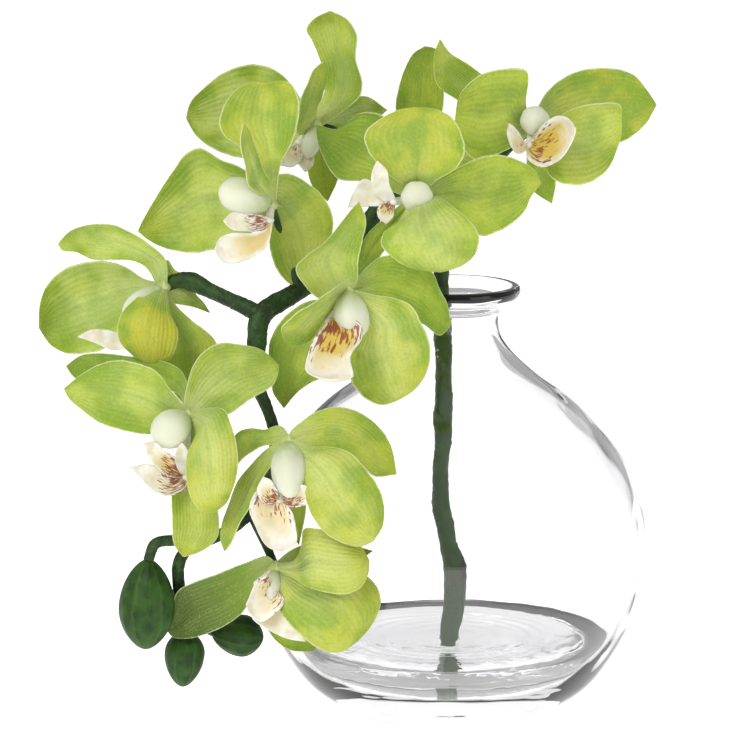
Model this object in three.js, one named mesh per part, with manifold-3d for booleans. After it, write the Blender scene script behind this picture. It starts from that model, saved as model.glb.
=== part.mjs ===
// A cut spray of green moth orchid, standing in a round clear glass vase that
// holds a shallow pool of clear resin. Millimetres, +Z up, the foot of the vase
// on z = 0 around the Z axis, and the spray leaning out to the left, -X.
import * as THREE from "three";
import { mergeVertices } from "three/addons/utils/BufferGeometryUtils.js";
import Module from "manifold-3d";

const wasm = await Module();
wasm.setup();
const { Manifold } = wasm;

// The spray's points are read off on a flat sheet that faces the eye: where the
// eye is, how many degrees it looks down, how far off the sheet is, and the x
// and z at the sheet's middle. Every point is given as x across, z up and, where
// it has a third number, how far it stands towards the eye.
const EYE = new THREE.Vector3(-26.6, -1770, 430);
const EYE_PITCH = THREE.MathUtils.degToRad(9.88);
const SHEET_AWAY = 1806.1;
const SHEET_MIDDLE = [-26.6, 119.3];

// Clearance between two pieces that touch.
const GAP = 0.35;

// A petal is 0.9 thick in the middle and thins to its edge.
const PETAL_THICK = 0.9;
const PETAL_EDGE = 0.55;
const LIP_THICK = 1.1;
const LIP_EDGE = 0.7;

// How many steps a blade and a lip's lobe take from foot to tip.
const BLADE_ROWS = 8;
const LOBE_ROWS = 5;

// Vase: outside and inside half sections, radius and height.
const VASE_OUTSIDE = [
  [0, 0], [30, 0], [33.5, 1.2], [41, 4.6], [51.3, 12.1], [62.4, 28.5],
  [68, 43.4], [70.2, 57.6], [69.2, 72.5], [63.7, 88], [54.7, 101.3],
  [43.8, 112.4], [31.4, 121.5], [21.4, 131], [17.8, 137], [17.2, 141.5],
  [17.9, 145.4], [22.8, 149], [25, 151.6], [24.8, 153.6], [23.4, 154.4],
];
const VASE_INSIDE = [
  [21.6, 153.4], [16.8, 149.2], [14.6, 143], [14.6, 137.2], [18.6, 129.2],
  [29.2, 119.2], [41.4, 110], [52.2, 99], [61, 86.2], [66.4, 71.4],
  [67.4, 57.6], [65.3, 44.2], [59.8, 29.8], [48.8, 15.4], [36, 9.4],
  [20, 7.2], [0, 6.6],
];
const VASE_SIDES = 24;
const WATER_LEVEL = 26.6;
const WATER_GAP = 0.35;

// Stem: points along it and its thickness there, from the cut end up through
// the neck, over the back of the blooms and down to the buds.
const STEM = [
  [-0.5, 13, 0, 5.2], [-0.2, 24.6, 0, 6.4], [1.6, 38, 0, 7], [1.8, 51, 0, 8.6],
  [-0.6, 60, 0, 6.2], [-3.4, 78, 0, 6], [-2.4, 96, 0, 6], [-2.2, 128, 0, 6],
  [-3, 153, 0, 5.6], [-3.4, 168, 0, 5.8], [-7, 181, 3, 6], [-13.4, 187, 8, 6],
  [-21.3, 183.6, 14, 6], [-27.7, 175.7, 19, 6], [-39.1, 161, 24, 6],
  [-53.4, 149.6, 30, 6.4], [-67, 140.6, 38, 7.4], [-69, 128.5, 42, 6.6],
  [-68.4, 115.7, 44, 4.8], [-64.8, 106.5, 45, 4], [-62.6, 98.5, 45, 4],
  [-62.6, 87, 43, 4], [-67, 77.5, 42, 4], [-71.6, 69.3, 43, 4],
  [-83.6, 61.4, 45, 4], [-92.6, 58.2, 47, 4.2], [-96.3, 53, 47, 4.4],
  [-96.8, 43.6, 45, 4.2], [-95, 32, 41, 3.6], [-94, 27.6, 40, 3],
];
// Side branches: to each bloom's back, and to the two side buds.
const BRANCHES = [
  [[-3.4, 168, 0, 4.6], [8, 184, -6, 3.6], [22, 201, -5, 3], [29.5, 207.5, -0.4, 3]],
  [[-6, 179, 2, 4.4], [-8, 190, -12, 3.4], [-9.1, 200.3, -24, 3]],
  [[-13.4, 187, 8, 4.4], [-12.6, 185.4, 18, 3.4], [-11.7, 183.4, 27.8, 3]],
  [[-19, 185, 12, 4.4], [-30, 198, 4, 3.4], [-41, 206.5, 0, 3], [-47.8, 208.5, 0, 3]],
  [[-53.4, 149.6, 30, 4.4], [-58.6, 164, 25, 3.6], [-63.6, 179.2, 31.2, 3]],
  [[-39.1, 161, 24, 4.4], [-37.2, 155, 32, 3.4], [-36.4, 149.2, 42, 3]],
  [[-67, 140.6, 38, 6.2], [-78, 146, 34, 5.4], [-86, 149.6, 30.5, 5.4], [-92, 152.6, 28, 6.8],
    [-97, 153, 27, 5.4], [-101.8, 150.9, 27, 4.2]],
  [[-68.6, 118, 44, 4], [-80, 112.6, 48, 3.2], [-93, 104.8, 55.2, 3]],
  [[-62.8, 99.6, 45, 4], [-60, 97.4, 50, 3.2], [-57.8, 95.6, 57, 3]],
  [[-71, 70.4, 43, 3.8], [-66.4, 60.6, 48, 3.2], [-62.2, 50.8, 55.2, 3]],
  [[-91.4, 58.8, 47, 4], [-99, 60.2, 49, 3.9], [-105, 59, 50, 3.9], [-107.6, 53, 50, 3.6]],
  [[-95.4, 35, 42, 3.4], [-89, 29.6, 37, 3], [-84.4, 27.4, 34.4, 2.8]],
];

// Buds: foot, tip, widest thickness and how far along it is widest.
const BUDS = [
  ["bud_large", [-107.6, 53.6, 50], [-108.6, 21.4, 50], 19.4, 0.54],
  ["bud_end", [-94, 28.2, 40], [-95.4, 8, 40], 14, 0.4],
  ["bud_small", [-85, 27.4, 34.4], [-66.4, 25.4, 34], 14.8, 0.6],
];

// Blooms: the middle of each, where its pieces meet.
const BLOOMS = {
  bloom_01: [29.5, 207.5, 2],
  bloom_02: [-9.1, 200.4, -26],
  bloom_03: [-11.6, 183.2, 30],
  bloom_04: [-48, 208.6, 2],
  bloom_05: [-63.8, 180, 33],
  bloom_06: [-36.3, 148.9, 44],
  bloom_07: [-102.3, 150.7, 29],
  bloom_08: [-93.4, 104.6, 57],
  bloom_09: [-57.7, 95.4, 59],
  bloom_10: [-62, 50.4, 57],
};
const HEART = 5.6;

// Blades: bloom, piece, then the outline clockwise as seen from the eye: one
// edge from the heart to the tip, the tip, the other edge back to the heart,
// each point x across and z up. Next how far the middle of the first edge, the
// tip and the middle of the second edge stand towards the eye, and how deep the
// blade is cupped, as a share of its half width.
const BLADES = [
  ["bloom_01", "petal_left", [[22.3, 200.7], [9.5, 196.1], [4, 202]],
    [2, 211], [[3.5, 219], [9, 225], [16, 227.8], [27.7, 227.9], [27, 216]],
    [12, 10, 12], 0.2],
  ["bloom_01", "petal_right", [[36, 209.5], [43, 213.8], [50.9, 216.1], [60.9, 215.7]],
    [61.6, 208.2], [[60.5, 202.1], [56.3, 192.5], [48.4, 187.5], [37.3, 188.9], [32.6, 197]],
    [12, 10, 14], 0.28],
  ["bloom_01", "sepals", [[34.8, 220.7], [45.2, 227.5], [56.6, 228.9], [66, 226.4], [70.9, 220.7]],
    [74.1, 215.7], [[69.5, 208.2], [61.3, 202.5], [48, 202]],
    [-5, -8, -5], 0.15],
  ["bloom_01", "sepals", [[15, 210], [2.7, 217.5], [-4.1, 222.5], [-5.6, 229], [-5.2, 234.8]],
    [-3.4, 239.4], [[0.2, 234.4], [6.5, 230.4], [13, 225.6], [22, 218]],
    [-8, -10, -8], 0.15],
  ["bloom_01", "sepals", [[36.5, 197], [38, 188]],
    [36.6, 180.4], [[29, 186], [27.5, 197]],
    [-2, -4, -2], 0.2],
  ["bloom_02", "petal_left", [[-16, 194], [-27, 191]],
    [-35, 200], [[-28, 210], [-17, 209]],
    [-30, -32, -30], 0.2],
  ["bloom_02", "petal_right", [[-1, 209], [9, 211]],
    [17.5, 201], [[10, 192], [-1, 193]],
    [-30, -32, -30], 0.2],
  ["bloom_02", "sepals", [[-16, 207], [-19.1, 213.6], [-18, 222.5], [-15.6, 229.4], [-12.7, 234.4]],
    [-8.8, 236.8], [[-4.6, 235.4], [-3.6, 228], [-2, 219.3], [-3.6, 209]],
    [-28, -26, -28], 0.18],
  ["bloom_02", "sepals", [[-11, 192], [-16, 182]],
    [-25, 177], [[-25, 186], [-18, 197]],
    [-30, -30, -30], 0.2],
  ["bloom_02", "sepals", [[0, 198], [9, 190]],
    [10, 178], [[0, 180], [-8, 191]],
    [-30, -30, -30], 0.2],
  ["bloom_03", "petal_upper", [[-17.3, 187.5], [-22.8, 191.8], [-28.4, 198.2], [-30.4, 205], [-25, 210.4], [-18.4, 213.9]],
    [-12, 215], [[-5, 214.3], [1, 210.8], [4.3, 205.4], [5.4, 199], [2.6, 193.4], [-4.1, 189.2]],
    [44, 42, 44], 0.3],
  ["bloom_03", "petal_lower", [[-4, 182.4], [0.9, 179.3], [6.3, 175], [10.5, 168.9], [9.3, 162.6], [4.4, 158.2]],
    [-3.4, 156.1], [[-12.7, 157.1], [-19.5, 160.4], [-24.2, 165.6], [-23.2, 170.2], [-18.4, 174.2]],
    [50, 46, 50], -0.25],
  ["bloom_03", "sepals", [[-3.8, 189.3], [3.8, 193.9], [10.6, 197], [18.4, 197.8], [25.5, 195.7], [30.5, 192.3]],
    [32.8, 187.9], [[29, 182.9], [27, 177.9], [22.7, 173.6], [17, 170.4], [10.9, 168.9], [4, 176.4]],
    [31, 26, 33], 0.2],
  ["bloom_03", "sepals", [[-22.3, 185.4], [-31.3, 188.4], [-39.8, 189.3], [-44.7, 196.1], [-47.2, 203.2]],
    [-47.7, 208.9], [[-40.5, 207.3], [-31.6, 212.9], [-23, 211.4], [-18, 199.6]],
    [25, 18, 24], 0.3],
  ["bloom_03", "sepals", [[-19.5, 169.3], [-25.5, 160.6]],
    [-33, 153.4], [[-33.2, 161.8], [-29.4, 169.3], [-22, 176.4]],
    [27, 24, 24], 0.2],
  ["bloom_04", "petal_left", [[-57, 199.6], [-67, 196.6], [-76, 197], [-84.8, 200.4], [-90.5, 204.8]],
    [-94.2, 211], [[-92.4, 217], [-87, 222.4], [-80, 227.6], [-71, 230.2], [-62.3, 228.2], [-56, 222.6], [-50.6, 213]],
    [7, 8, 5], 0.3],
  ["bloom_04", "petal_upper", [[-47, 215], [-44.6, 221.5], [-45.6, 229.4], [-49, 238.6], [-51, 242.8], [-48, 246.9]],
    [-42.7, 249.4], [[-36.3, 246.3], [-33.2, 240.6], [-33.8, 232.6], [-31.4, 223.6], [-32.4, 218.6], [-38.6, 213]],
    [-1, 6, 5], 0.35],
  ["bloom_04", "sepals", [[-53.8, 205], [-52.9, 215], [-51, 222.9], [-48.8, 228.2]],
    [-45, 231.4], [[-43.8, 227.9], [-44.5, 222.9], [-47, 213.9]],
    [15, 10, 6], 0.1],
  ["bloom_04", "sepals", [[-39, 215.6], [-30.2, 218.9]],
    [-22, 213.9], [[-29, 208.9], [-38, 207]],
    [-4, -6, -4], 0.15],
  ["bloom_04", "sepals", [[-41.6, 199.6], [-39.6, 190.7]],
    [-43.4, 181.2], [[-49.3, 187.4], [-51, 196.6]],
    [4, 4, 4], 0.2],
  ["bloom_05", "petal_left", [[-71.3, 169.5], [-77.7, 166], [-84.6, 164], [-92, 162.9], [-102.3, 165], [-107.6, 167.6]],
    [-111.4, 170.6], [[-109, 175.4], [-104.1, 183.9], [-99.5, 191.1], [-93.8, 198.7], [-88.8, 200.2], [-82.3, 196.6], [-74, 193.4], [-67, 187]],
    [26, 20, 26], 0.3],
  ["bloom_05", "petal_upper", [[-67.6, 193], [-74.2, 200.6], [-80, 204.2], [-82.2, 208.6], [-80.3, 216.2], [-76.2, 221.3], [-71, 223.7]],
    [-66.3, 224], [[-57.2, 223.8], [-53.9, 217.5], [-54.1, 210], [-56.2, 202.4], [-60.2, 194.6]],
    [36, 31, 38], 0.38],
  ["bloom_05", "sepals", [[-67.6, 183.4], [-71.8, 187.6], [-74.2, 196.1], [-75, 203.6]],
    [-73.4, 209], [[-70.6, 204.6], [-67.6, 197.1], [-64.6, 188.9]],
    [58, 56, 44], 0.1],
  ["bloom_05", "sepals", [[-63, 190], [-57.3, 191.2], [-50.9, 187.9], [-45.4, 183.4], [-41.6, 175.6], [-42.7, 165.7], [-46.3, 156.4]],
    [-52, 149.4], [[-57.3, 152], [-61.4, 156.6], [-64, 163.4], [-64, 171]],
    [29, 30, 31], 0.25],
  ["bloom_05", "sepals", [[-57, 177], [-49, 169]],
    [-49.4, 158.6], [[-57.4, 163], [-63.4, 172.4]],
    [18, 9, 18], 0.2],
  ["bloom_06", "petal_right", [[-27, 148], [-19.8, 146.8], [-13.6, 144], [-10.4, 138.6], [-7.7, 132.6], [-6.8, 126.8], [-8, 120.3], [-11.6, 114.8]],
    [-17, 110.9], [[-23.8, 108.6], [-28.6, 110], [-32.8, 113.7], [-35.6, 118.4], [-36.8, 124.6], [-33.6, 131]],
    [60, 62, 60], 0.32],
  ["bloom_06", "petal_left", [[-37.3, 145], [-44.8, 137.9], [-50.4, 131.6], [-54.8, 129.4]],
    [-59, 131.6], [[-59.9, 136.3], [-55, 140], [-47.4, 145.6], [-38.4, 152.2]],
    [54, 62, 68], 0.15],
  ["bloom_06", "sepals", [[-40.9, 147.5], [-46.2, 146.6], [-51.8, 151.4], [-55, 157], [-51.6, 161.4], [-44.3, 167], [-38.4, 174.3], [-34.9, 178.7]],
    [-32.2, 181.3], [[-29.8, 174.4], [-31.2, 166.6], [-32.6, 159.6], [-33, 153]],
    [50, 52, 50], 0.28],
  ["bloom_06", "sepals", [[-32.3, 155], [-28.4, 158.9], [-23.6, 161.8], [-14.1, 161.1], [-6.2, 156], [-3.4, 149.6], [-0.9, 145]],
    [0.6, 137.1], [[-3.4, 133.4], [-8.8, 137.1], [-17.7, 142], [-27, 144.8]],
    [45, 48, 47], 0.22],
  ["bloom_06", "sepals", [[-39.1, 138.9], [-39.8, 128.2], [-44.6, 118.6], [-49, 116.6], [-54, 113.4]],
    [-59.2, 107.3], [[-63.2, 113.4], [-63, 120], [-64.6, 127.9], [-63, 134], [-58.4, 140.6], [-51.6, 145.2], [-43.6, 146.8]],
    [40, 36, 38], 0.22],
  ["bloom_07", "petal_left", [[-108.8, 146.1], [-114.8, 138.9], [-119.5, 131.8], [-124, 128.2], [-130, 127], [-136.6, 127], [-142.2, 129.8]],
    [-146.7, 136], [[-146.2, 145], [-143.4, 151.8], [-137.7, 157.1], [-131, 159.3], [-122, 159.8], [-115.2, 157.9], [-108, 153.4]],
    [14, 12, 14], 0.35],
  ["bloom_07", "petal_front", [[-99.8, 142.5], [-97, 133.6], [-99.8, 125.4]],
    [-107, 122.6], [[-113.8, 126.8], [-118, 131.6], [-118.6, 136.8], [-116.3, 142.3], [-110.6, 147.6]],
    [44, 44, 46], -0.3],
  ["bloom_07", "sepals", [[-108, 157.4], [-113, 159.8], [-119.5, 160.4], [-127.3, 160.4], [-133.4, 163.4], [-138, 163.9]],
    [-139.9, 166.2], [[-135.8, 170.6], [-131.2, 172.7], [-125.4, 173.4], [-119.4, 172.8], [-113.6, 169.8], [-107.6, 165.6], [-101.6, 160.6]],
    [27, 25, 33], 0.25],
  ["bloom_07", "sepals", [[-99, 146], [-91.3, 138.2], [-87, 135], [-83, 130], [-84.8, 121.1], [-89.8, 112.1]],
    [-94.1, 108], [[-99.1, 113.9], [-102.3, 122.9], [-103.4, 131.8], [-104.6, 140.7]],
    [33, 32, 33], 0.2],
  ["bloom_07", "sepals", [[-100.6, 160.4], [-98, 156.9], [-92.7, 154], [-90.7, 148.4], [-88, 145.5]],
    [-85.3, 141.4], [[-92, 143.7], [-97, 144.4], [-101.4, 146]],
    [27, 20, 26], 0.2],
  ["bloom_08", "petal_right", [[-86.3, 107.4], [-80.6, 107], [-78, 101.4], [-76, 94], [-75.8, 86], [-77.4, 79], [-79.8, 73.4]],
    [-84, 70], [[-88.8, 70.8], [-92.6, 76.2], [-94, 83.6], [-93, 91.8], [-90.4, 98.4]],
    [71, 72, 70], -0.32],
  ["bloom_08", "petal_left", [[-96.3, 112.1], [-107, 115], [-121.3, 115.4], [-133.4, 118]],
    [-137.1, 122.5], [[-131.6, 126.3], [-123.8, 126.9], [-115, 126], [-104, 124.8], [-95.6, 120.7], [-92.6, 113]],
    [46, 44, 46], 0.2],
  ["bloom_08", "sepals", [[-94.8, 108.9], [-93.6, 116.1], [-91.8, 122.1], [-88.4, 127.1], [-82.8, 130.6], [-75.2, 130.2], [-66.8, 128.2]],
    [-60.8, 123], [[-62.7, 116.1], [-69.8, 111.4], [-78.8, 105.4], [-86.3, 103.6]],
    [54, 46, 54], 0.3],
  ["bloom_08", "sepals", [[-98, 98.9], [-105.5, 98], [-112.3, 98.6], [-119.1, 100.4], [-125.5, 102.7], [-130.9, 106.6], [-135.9, 110.9]],
    [-137.8, 114.4], [[-132.3, 118.9], [-125.5, 122.9], [-118.6, 124.5], [-111.6, 123.6], [-105, 120.8], [-99.6, 114]],
    [60, 58, 60], 0.2],
  ["bloom_08", "sepals", [[-89, 96], [-85.5, 82], [-82.6, 70], [-82.9, 61.4], [-88, 56.6]],
    [-95, 54.2], [[-98.4, 58.9], [-99, 68], [-99.2, 78.2], [-96.6, 92.5]],
    [62, 66, 62], 0.25],
  ["bloom_09", "petal_right", [[-49, 93.6], [-41.3, 93.4], [-35.2, 91.2], [-29.8, 85.5], [-25.7, 79.4], [-23.6, 73], [-23.8, 65.6]],
    [-27.1, 59.9], [[-32, 58], [-38.8, 59.6], [-44.7, 63.2], [-48.8, 68.6], [-51.6, 76.4], [-54.6, 86]],
    [77, 80, 76], -0.28],
  ["bloom_09", "petal_left", [[-62.3, 88.9], [-67.5, 80.4], [-70.7, 73.2], [-74.8, 66.6], [-78, 60]],
    [-80.3, 56.2], [[-81.7, 61], [-79.6, 73.2], [-76, 81.4], [-69.8, 88.4], [-64.4, 92.9]],
    [72, 68, 60], 0.15],
  ["bloom_09", "sepals", [[-56.4, 99.8], [-52.7, 102.9], [-48.4, 105.9], [-41.3, 107.9], [-35.2, 106.9], [-29.3, 103.9], [-24.3, 99.6], [-20.9, 93.9]],
    [-18.8, 83.8], [[-27, 83.4], [-31, 87.1], [-37.3, 91.2], [-47, 92.4]],
    [58, 64, 66], 0.25],
  ["bloom_09", "sepals", [[-62.3, 94.6], [-68.4, 92.8], [-73.4, 89.8]],
    [-76.8, 86.4], [[-78.6, 93], [-76.4, 98.6], [-70.9, 100.4], [-65.5, 99.8], [-60, 101]],
    [56, 46, 50], 0.2],
  ["bloom_09", "sepals", [[-52, 81.8], [-51.3, 71.1]],
    [-53.8, 58.4], [[-58.6, 67.5], [-60.8, 78.2]],
    [53, 50, 53], 0.2],
  ["bloom_10", "petal_upper", [[-55.5, 53.2], [-52.4, 58.8], [-51.7, 64.3], [-46.3, 64.5], [-37.3, 61.6], [-31.8, 58.4]],
    [-28.6, 53.2], [[-29, 48.2], [-31.6, 43.7], [-36.6, 41.2], [-43.6, 41.6], [-51.3, 43.9], [-56.4, 46.8]],
    [70, 71, 74], -0.25],
  ["bloom_10", "petal_lower", [[-57, 49], [-42.7, 47.9], [-28.6, 46.8], [-24.6, 40], [-25.3, 34.8], [-28, 29.4]],
    [-32.7, 24.2], [[-38.2, 20.5], [-43, 20.2], [-47.6, 22.2], [-51.8, 25.2], [-57, 30.4], [-60.6, 35.4], [-61.8, 42]],
    [64, 71, 71], -0.22],
  ["bloom_10", "sepals", [[-67, 46.4], [-69.9, 40.7], [-73.9, 34.6], [-80.2, 29.5], [-86.3, 26.8], [-93.4, 25], [-98.8, 25.6]],
    [-101, 28.3], [[-98.9, 34], [-97.2, 42], [-90.2, 45.9], [-82.7, 48.4], [-73, 52], [-65.2, 54.6]],
    [50, 46, 52], 0.15],
  ["bloom_10", "sepals", [[-55.2, 57.4], [-42.7, 60.4]],
    [-26.9, 56.6], [[-37.3, 49.6], [-53.4, 46.1]],
    [51, 48, 51], 0.2],
  ["bloom_10", "sepals", [[-57.6, 42.5], [-51.2, 31], [-45.6, 24.6]],
    [-49, 20.6], [[-56.6, 21.2], [-62.2, 24.6], [-66, 31.1], [-65.5, 40.7]],
    [50, 48, 50], 0.2],
];

// The root of each lip, under its column, and its lobes with the same columns.
const ROOTS = {
  bloom_01: [28.4, 201.5, 9],
  bloom_02: [-9.1, 191.4, -31],
  bloom_03: [-20, 181, 37],
  bloom_04: [-53.6, 202.4, 6.4],
  bloom_05: [-64.2, 174.6, 38],
  bloom_06: [-43, 138.6, 54],
  bloom_07: [-107, 143, 28.6],
  bloom_08: [-94, 83, 62],
  bloom_09: [-60.6, 74.4, 70],
  bloom_10: [-68.4, 44.8, 61],
};
const LIPS = [
  ["bloom_01", [[30.9, 205.4], [34.1, 209.2], [38, 211.6], [41.8, 211]],
    [44.9, 207], [[42.7, 200.4], [38, 195.4], [32.3, 193.6], [27.9, 196.6]],
    [20, 27, 18], 0.5],
  ["bloom_01", [[24.9, 198], [22.3, 200.4], [20.5, 205.4]],
    [21.2, 209.1], [[24.4, 206.4], [26.6, 203]],
    [15, 20, 17], 0.3],
  ["bloom_02", [[-5, 193], [-5.4, 188]],
    [-9, 185], [[-12.6, 188], [-13, 193]],
    [-36, -38, -36], 0.4],
  ["bloom_03", [[-24.4, 182], [-27.3, 185.6], [-27.7, 191.2]],
    [-25.8, 195.9], [[-22.4, 192.4], [-21.4, 187.1]],
    [42, 44, 42], 0.35],
  ["bloom_03", [[-27, 179.6], [-32.6, 179.4]],
    [-36.4, 179.2], [[-34.2, 185], [-30.4, 189.3], [-26.4, 187.6], [-23.2, 184]],
    [40, 42, 40], 0.3],
  ["bloom_03", [[-19.6, 178.4], [-20.3, 175.6]],
    [-22.6, 173.2], [[-25.4, 175.9], [-25.2, 179.4]],
    [41, 43, 41], 0.3],
  ["bloom_04", [[-52.6, 196.6], [-56.3, 193.6]],
    [-61, 194.3], [[-60, 198.9], [-55.9, 201.6]],
    [13, 16, 13], 0.35],
  ["bloom_04", [[-48.8, 198.4], [-48.8, 194.4]],
    [-51.6, 191.8], [[-54.4, 195.6]],
    [11, 14, 11], 0.3],
  ["bloom_05", [[-66, 171.3], [-71.3, 170.7], [-77.7, 171.3]],
    [-80.8, 174.4], [[-77.3, 177.4], [-70.2, 176.8]],
    [45, 47, 43], 0.3],
  ["bloom_05", [[-64.8, 165.9], [-68.6, 162.3], [-74.8, 159.4], [-81, 159.6]],
    [-84, 163.9], [[-82, 168], [-77.7, 169.9], [-71.3, 169.9], [-66, 171]],
    [45, 48, 46], 0.35],
  ["bloom_06", [[-32.2, 138.2], [-31.3, 132.5], [-35.5, 126.1], [-34.6, 118.4]],
    [-42.7, 117.5], [[-51.2, 120.7], [-50.7, 125.7], [-47.9, 132.9], [-42, 139.6]],
    [66, 75, 68], 0.3],
  ["bloom_07", [[-114.1, 129.8], [-120.5, 128.2], [-126, 130.6]],
    [-132.9, 132.9], [[-128, 135.4], [-122.4, 135.4], [-116.4, 134.4]],
    [28, 24, 28], 0.25],
  ["bloom_08", [[-99.6, 82.7], [-103.4, 85.2], [-107.2, 89.4]],
    [-109, 94.8], [[-105, 95.2], [-101.4, 92], [-97.4, 89.6]],
    [68, 72, 67], 0.35],
  ["bloom_08", [[-93.8, 78.8], [-100.5, 76.2], [-105, 77.3], [-109.3, 81.2]],
    [-114, 86.2], [[-109.8, 87.3], [-105, 86.8], [-100.5, 83.4], [-96.6, 84.4]],
    [68, 72, 67], 0.3],
  ["bloom_08", [[-97.2, 86], [-98, 91]],
    [-95.8, 95.6], [[-93.2, 92], [-91.8, 86]],
    [66, 67, 66], 0.3],
  ["bloom_09", [[-57, 71.6], [-54.9, 64.9], [-55, 58.9]],
    [-59.7, 55.9], [[-65.4, 58.4], [-69.3, 65.5], [-71.5, 71.8], [-68.4, 78.4], [-64.4, 79.6]],
    [76, 80, 74], 0.35],
  ["bloom_09", [[-66.6, 73.6], [-68.6, 78.6]],
    [-66.6, 83], [[-63.6, 81.4], [-61.8, 77.4]],
    [74, 73, 74], 0.3],
  ["bloom_09", [[-58, 76.2], [-53.4, 80]],
    [-49.6, 79.4], [[-49.4, 74.6], [-55, 72]],
    [74, 73, 74], 0.3],
  ["bloom_10", [[-58.8, 38.9], [-62, 34.4], [-67, 31.4], [-71.4, 34.2]],
    [-72.6, 37.3], [[-70.6, 42], [-68.2, 46.3], [-64.6, 48.2]],
    [68, 69, 67], 0.45],
  ["bloom_10", [[-59.6, 37.1], [-56.6, 31.1], [-53, 27.1]],
    [-51.1, 24.1], [[-57.7, 25.1], [-64.8, 28.4], [-70.7, 33], [-68.4, 40]],
    [66, 69, 66], 0.3],
];

// Columns: bloom, head, thickness and how far along it is widest; each starts
// at its heart.
const COLUMNS = [
  ["bloom_01", [31.2, 212.2, 13], 10, 0.6],
  ["bloom_02", [-9.1, 197.6, -37], 8, 0.6],
  ["bloom_03", [-11.6, 182.6, 42], 10.8, 0.66],
  ["bloom_04", [-50.6, 196.8, 13], 6.2, 0.6],
  ["bloom_05", [-81.6, 185.6, 46], 12.2, 0.66],
  ["bloom_06", [-34.4, 132.4, 60], 12.6, 0.62],
  ["bloom_07", [-116.4, 139.8, 40], 9, 0.6],
  ["bloom_08", [-105.2, 95.8, 68], 12.8, 0.54],
  ["bloom_09", [-57, 75.8, 76], 12.2, 0.5],
  ["bloom_10", [-64, 39, 66], 5.4, 0.6],
];

const PAINT = {
  petal: [0xa9c042, 0.62],
  lip: [0xeceadb, 0.6],
  column: [0xcfdac0, 0.5],
  stem: [0x2a5526, 0.55],
  bud: [0x2c6130, 0.55],
  glass: [0xe8eef0, 0.05],
  water: [0xdfe8ea, 0.04],
};

// The point seen at x across and z up on the sheet: where the line of sight
// meets the upright plane of the vase's axis, moved from there towards the eye.
function seen([x, z, near]) {
  const out = x - SHEET_MIDDLE[0];
  const up = z - SHEET_MIDDLE[1];
  const sight = new THREE.Vector3(
    out,
    up * Math.sin(EYE_PITCH) + SHEET_AWAY * Math.cos(EYE_PITCH),
    up * Math.cos(EYE_PITCH) - SHEET_AWAY * Math.sin(EYE_PITCH),
  );
  const flat = EYE.clone().addScaledVector(sight, -EYE.y / sight.y);
  return flat.lerp(EYE, near / -EYE.y);
}

// How far along a blade its i-th row lies: closer together near both ends.
function reachOf(i, count) {
  const even = i / count;
  return even / 2 + (1 - Math.cos(Math.PI * even)) / 4;
}

function solidFrom(geometry) {
  const bare = new THREE.BufferGeometry();
  bare.setAttribute("position", geometry.getAttribute("position"));
  if (geometry.index) bare.setIndex(geometry.index);
  const flat = bare.index ? bare.toNonIndexed() : bare;
  const merged = mergeVertices(flat, 1e-4);
  const made = new Manifold(new wasm.Mesh({
    numProp: 3,
    vertProperties: merged.getAttribute("position").array,
    triVerts: new Uint32Array(merged.index.array),
  }));
  if (made.volume() >= 0) return made;
  const turned = merged.index.array.slice();
  for (let i = 0; i < turned.length; i += 3) {
    [turned[i + 1], turned[i + 2]] = [turned[i + 2], turned[i + 1]];
  }
  return new Manifold(new wasm.Mesh({
    numProp: 3,
    vertProperties: merged.getAttribute("position").array,
    triVerts: new Uint32Array(turned),
  }));
}

// A closed skin over a grid of points that runs rows by columns; a ring grid
// joins its last column to its first and its end rows are capped.
function gridSolid(rows, ring) {
  const places = [];
  const faces = [];
  const across = rows[0].length;
  rows.forEach((row) => row.forEach((p) => places.push(p.x, p.y, p.z)));
  const at = (i, j) => i * across + (j % across);
  for (let i = 0; i + 1 < rows.length; i += 1) {
    for (let j = 0; j < (ring ? across : across - 1); j += 1) {
      faces.push(at(i, j), at(i + 1, j), at(i + 1, j + 1));
      faces.push(at(i, j), at(i + 1, j + 1), at(i, j + 1));
    }
  }
  for (let j = 1; j + 1 < across; j += 1) {
    faces.push(at(0, 0), at(0, j), at(0, j + 1));
    faces.push(at(rows.length - 1, 0), at(rows.length - 1, j + 1), at(rows.length - 1, j));
  }
  const geometry = new THREE.BufferGeometry();
  geometry.setAttribute("position", new THREE.Float32BufferAttribute(places, 3));
  geometry.setIndex(faces);
  return solidFrom(geometry);
}

// One edge of a blade from its claw to its tip, and how near each of its rows
// is: a parabola through the start, the edge's middle and the tip.
function edgeRow(points, nears, along) {
  const flat = points.map(([x, z]) => new THREE.Vector3(x, z, 0));
  const curve = new THREE.CatmullRomCurve3(flat, false, "centripetal");
  const row = [];
  for (let i = 0; i <= along; i += 1) {
    const u = 0.975 * reachOf(i, along);
    const at = curve.getPointAt(u);
    const [first, mid, last] = nears;
    const near = first * (1 - u) * (1 - 2 * u) + mid * 4 * u * (1 - u) + last * u * (2 * u - 1);
    row.push(seen([at.x, at.y, near]));
  }
  return row;
}

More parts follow.
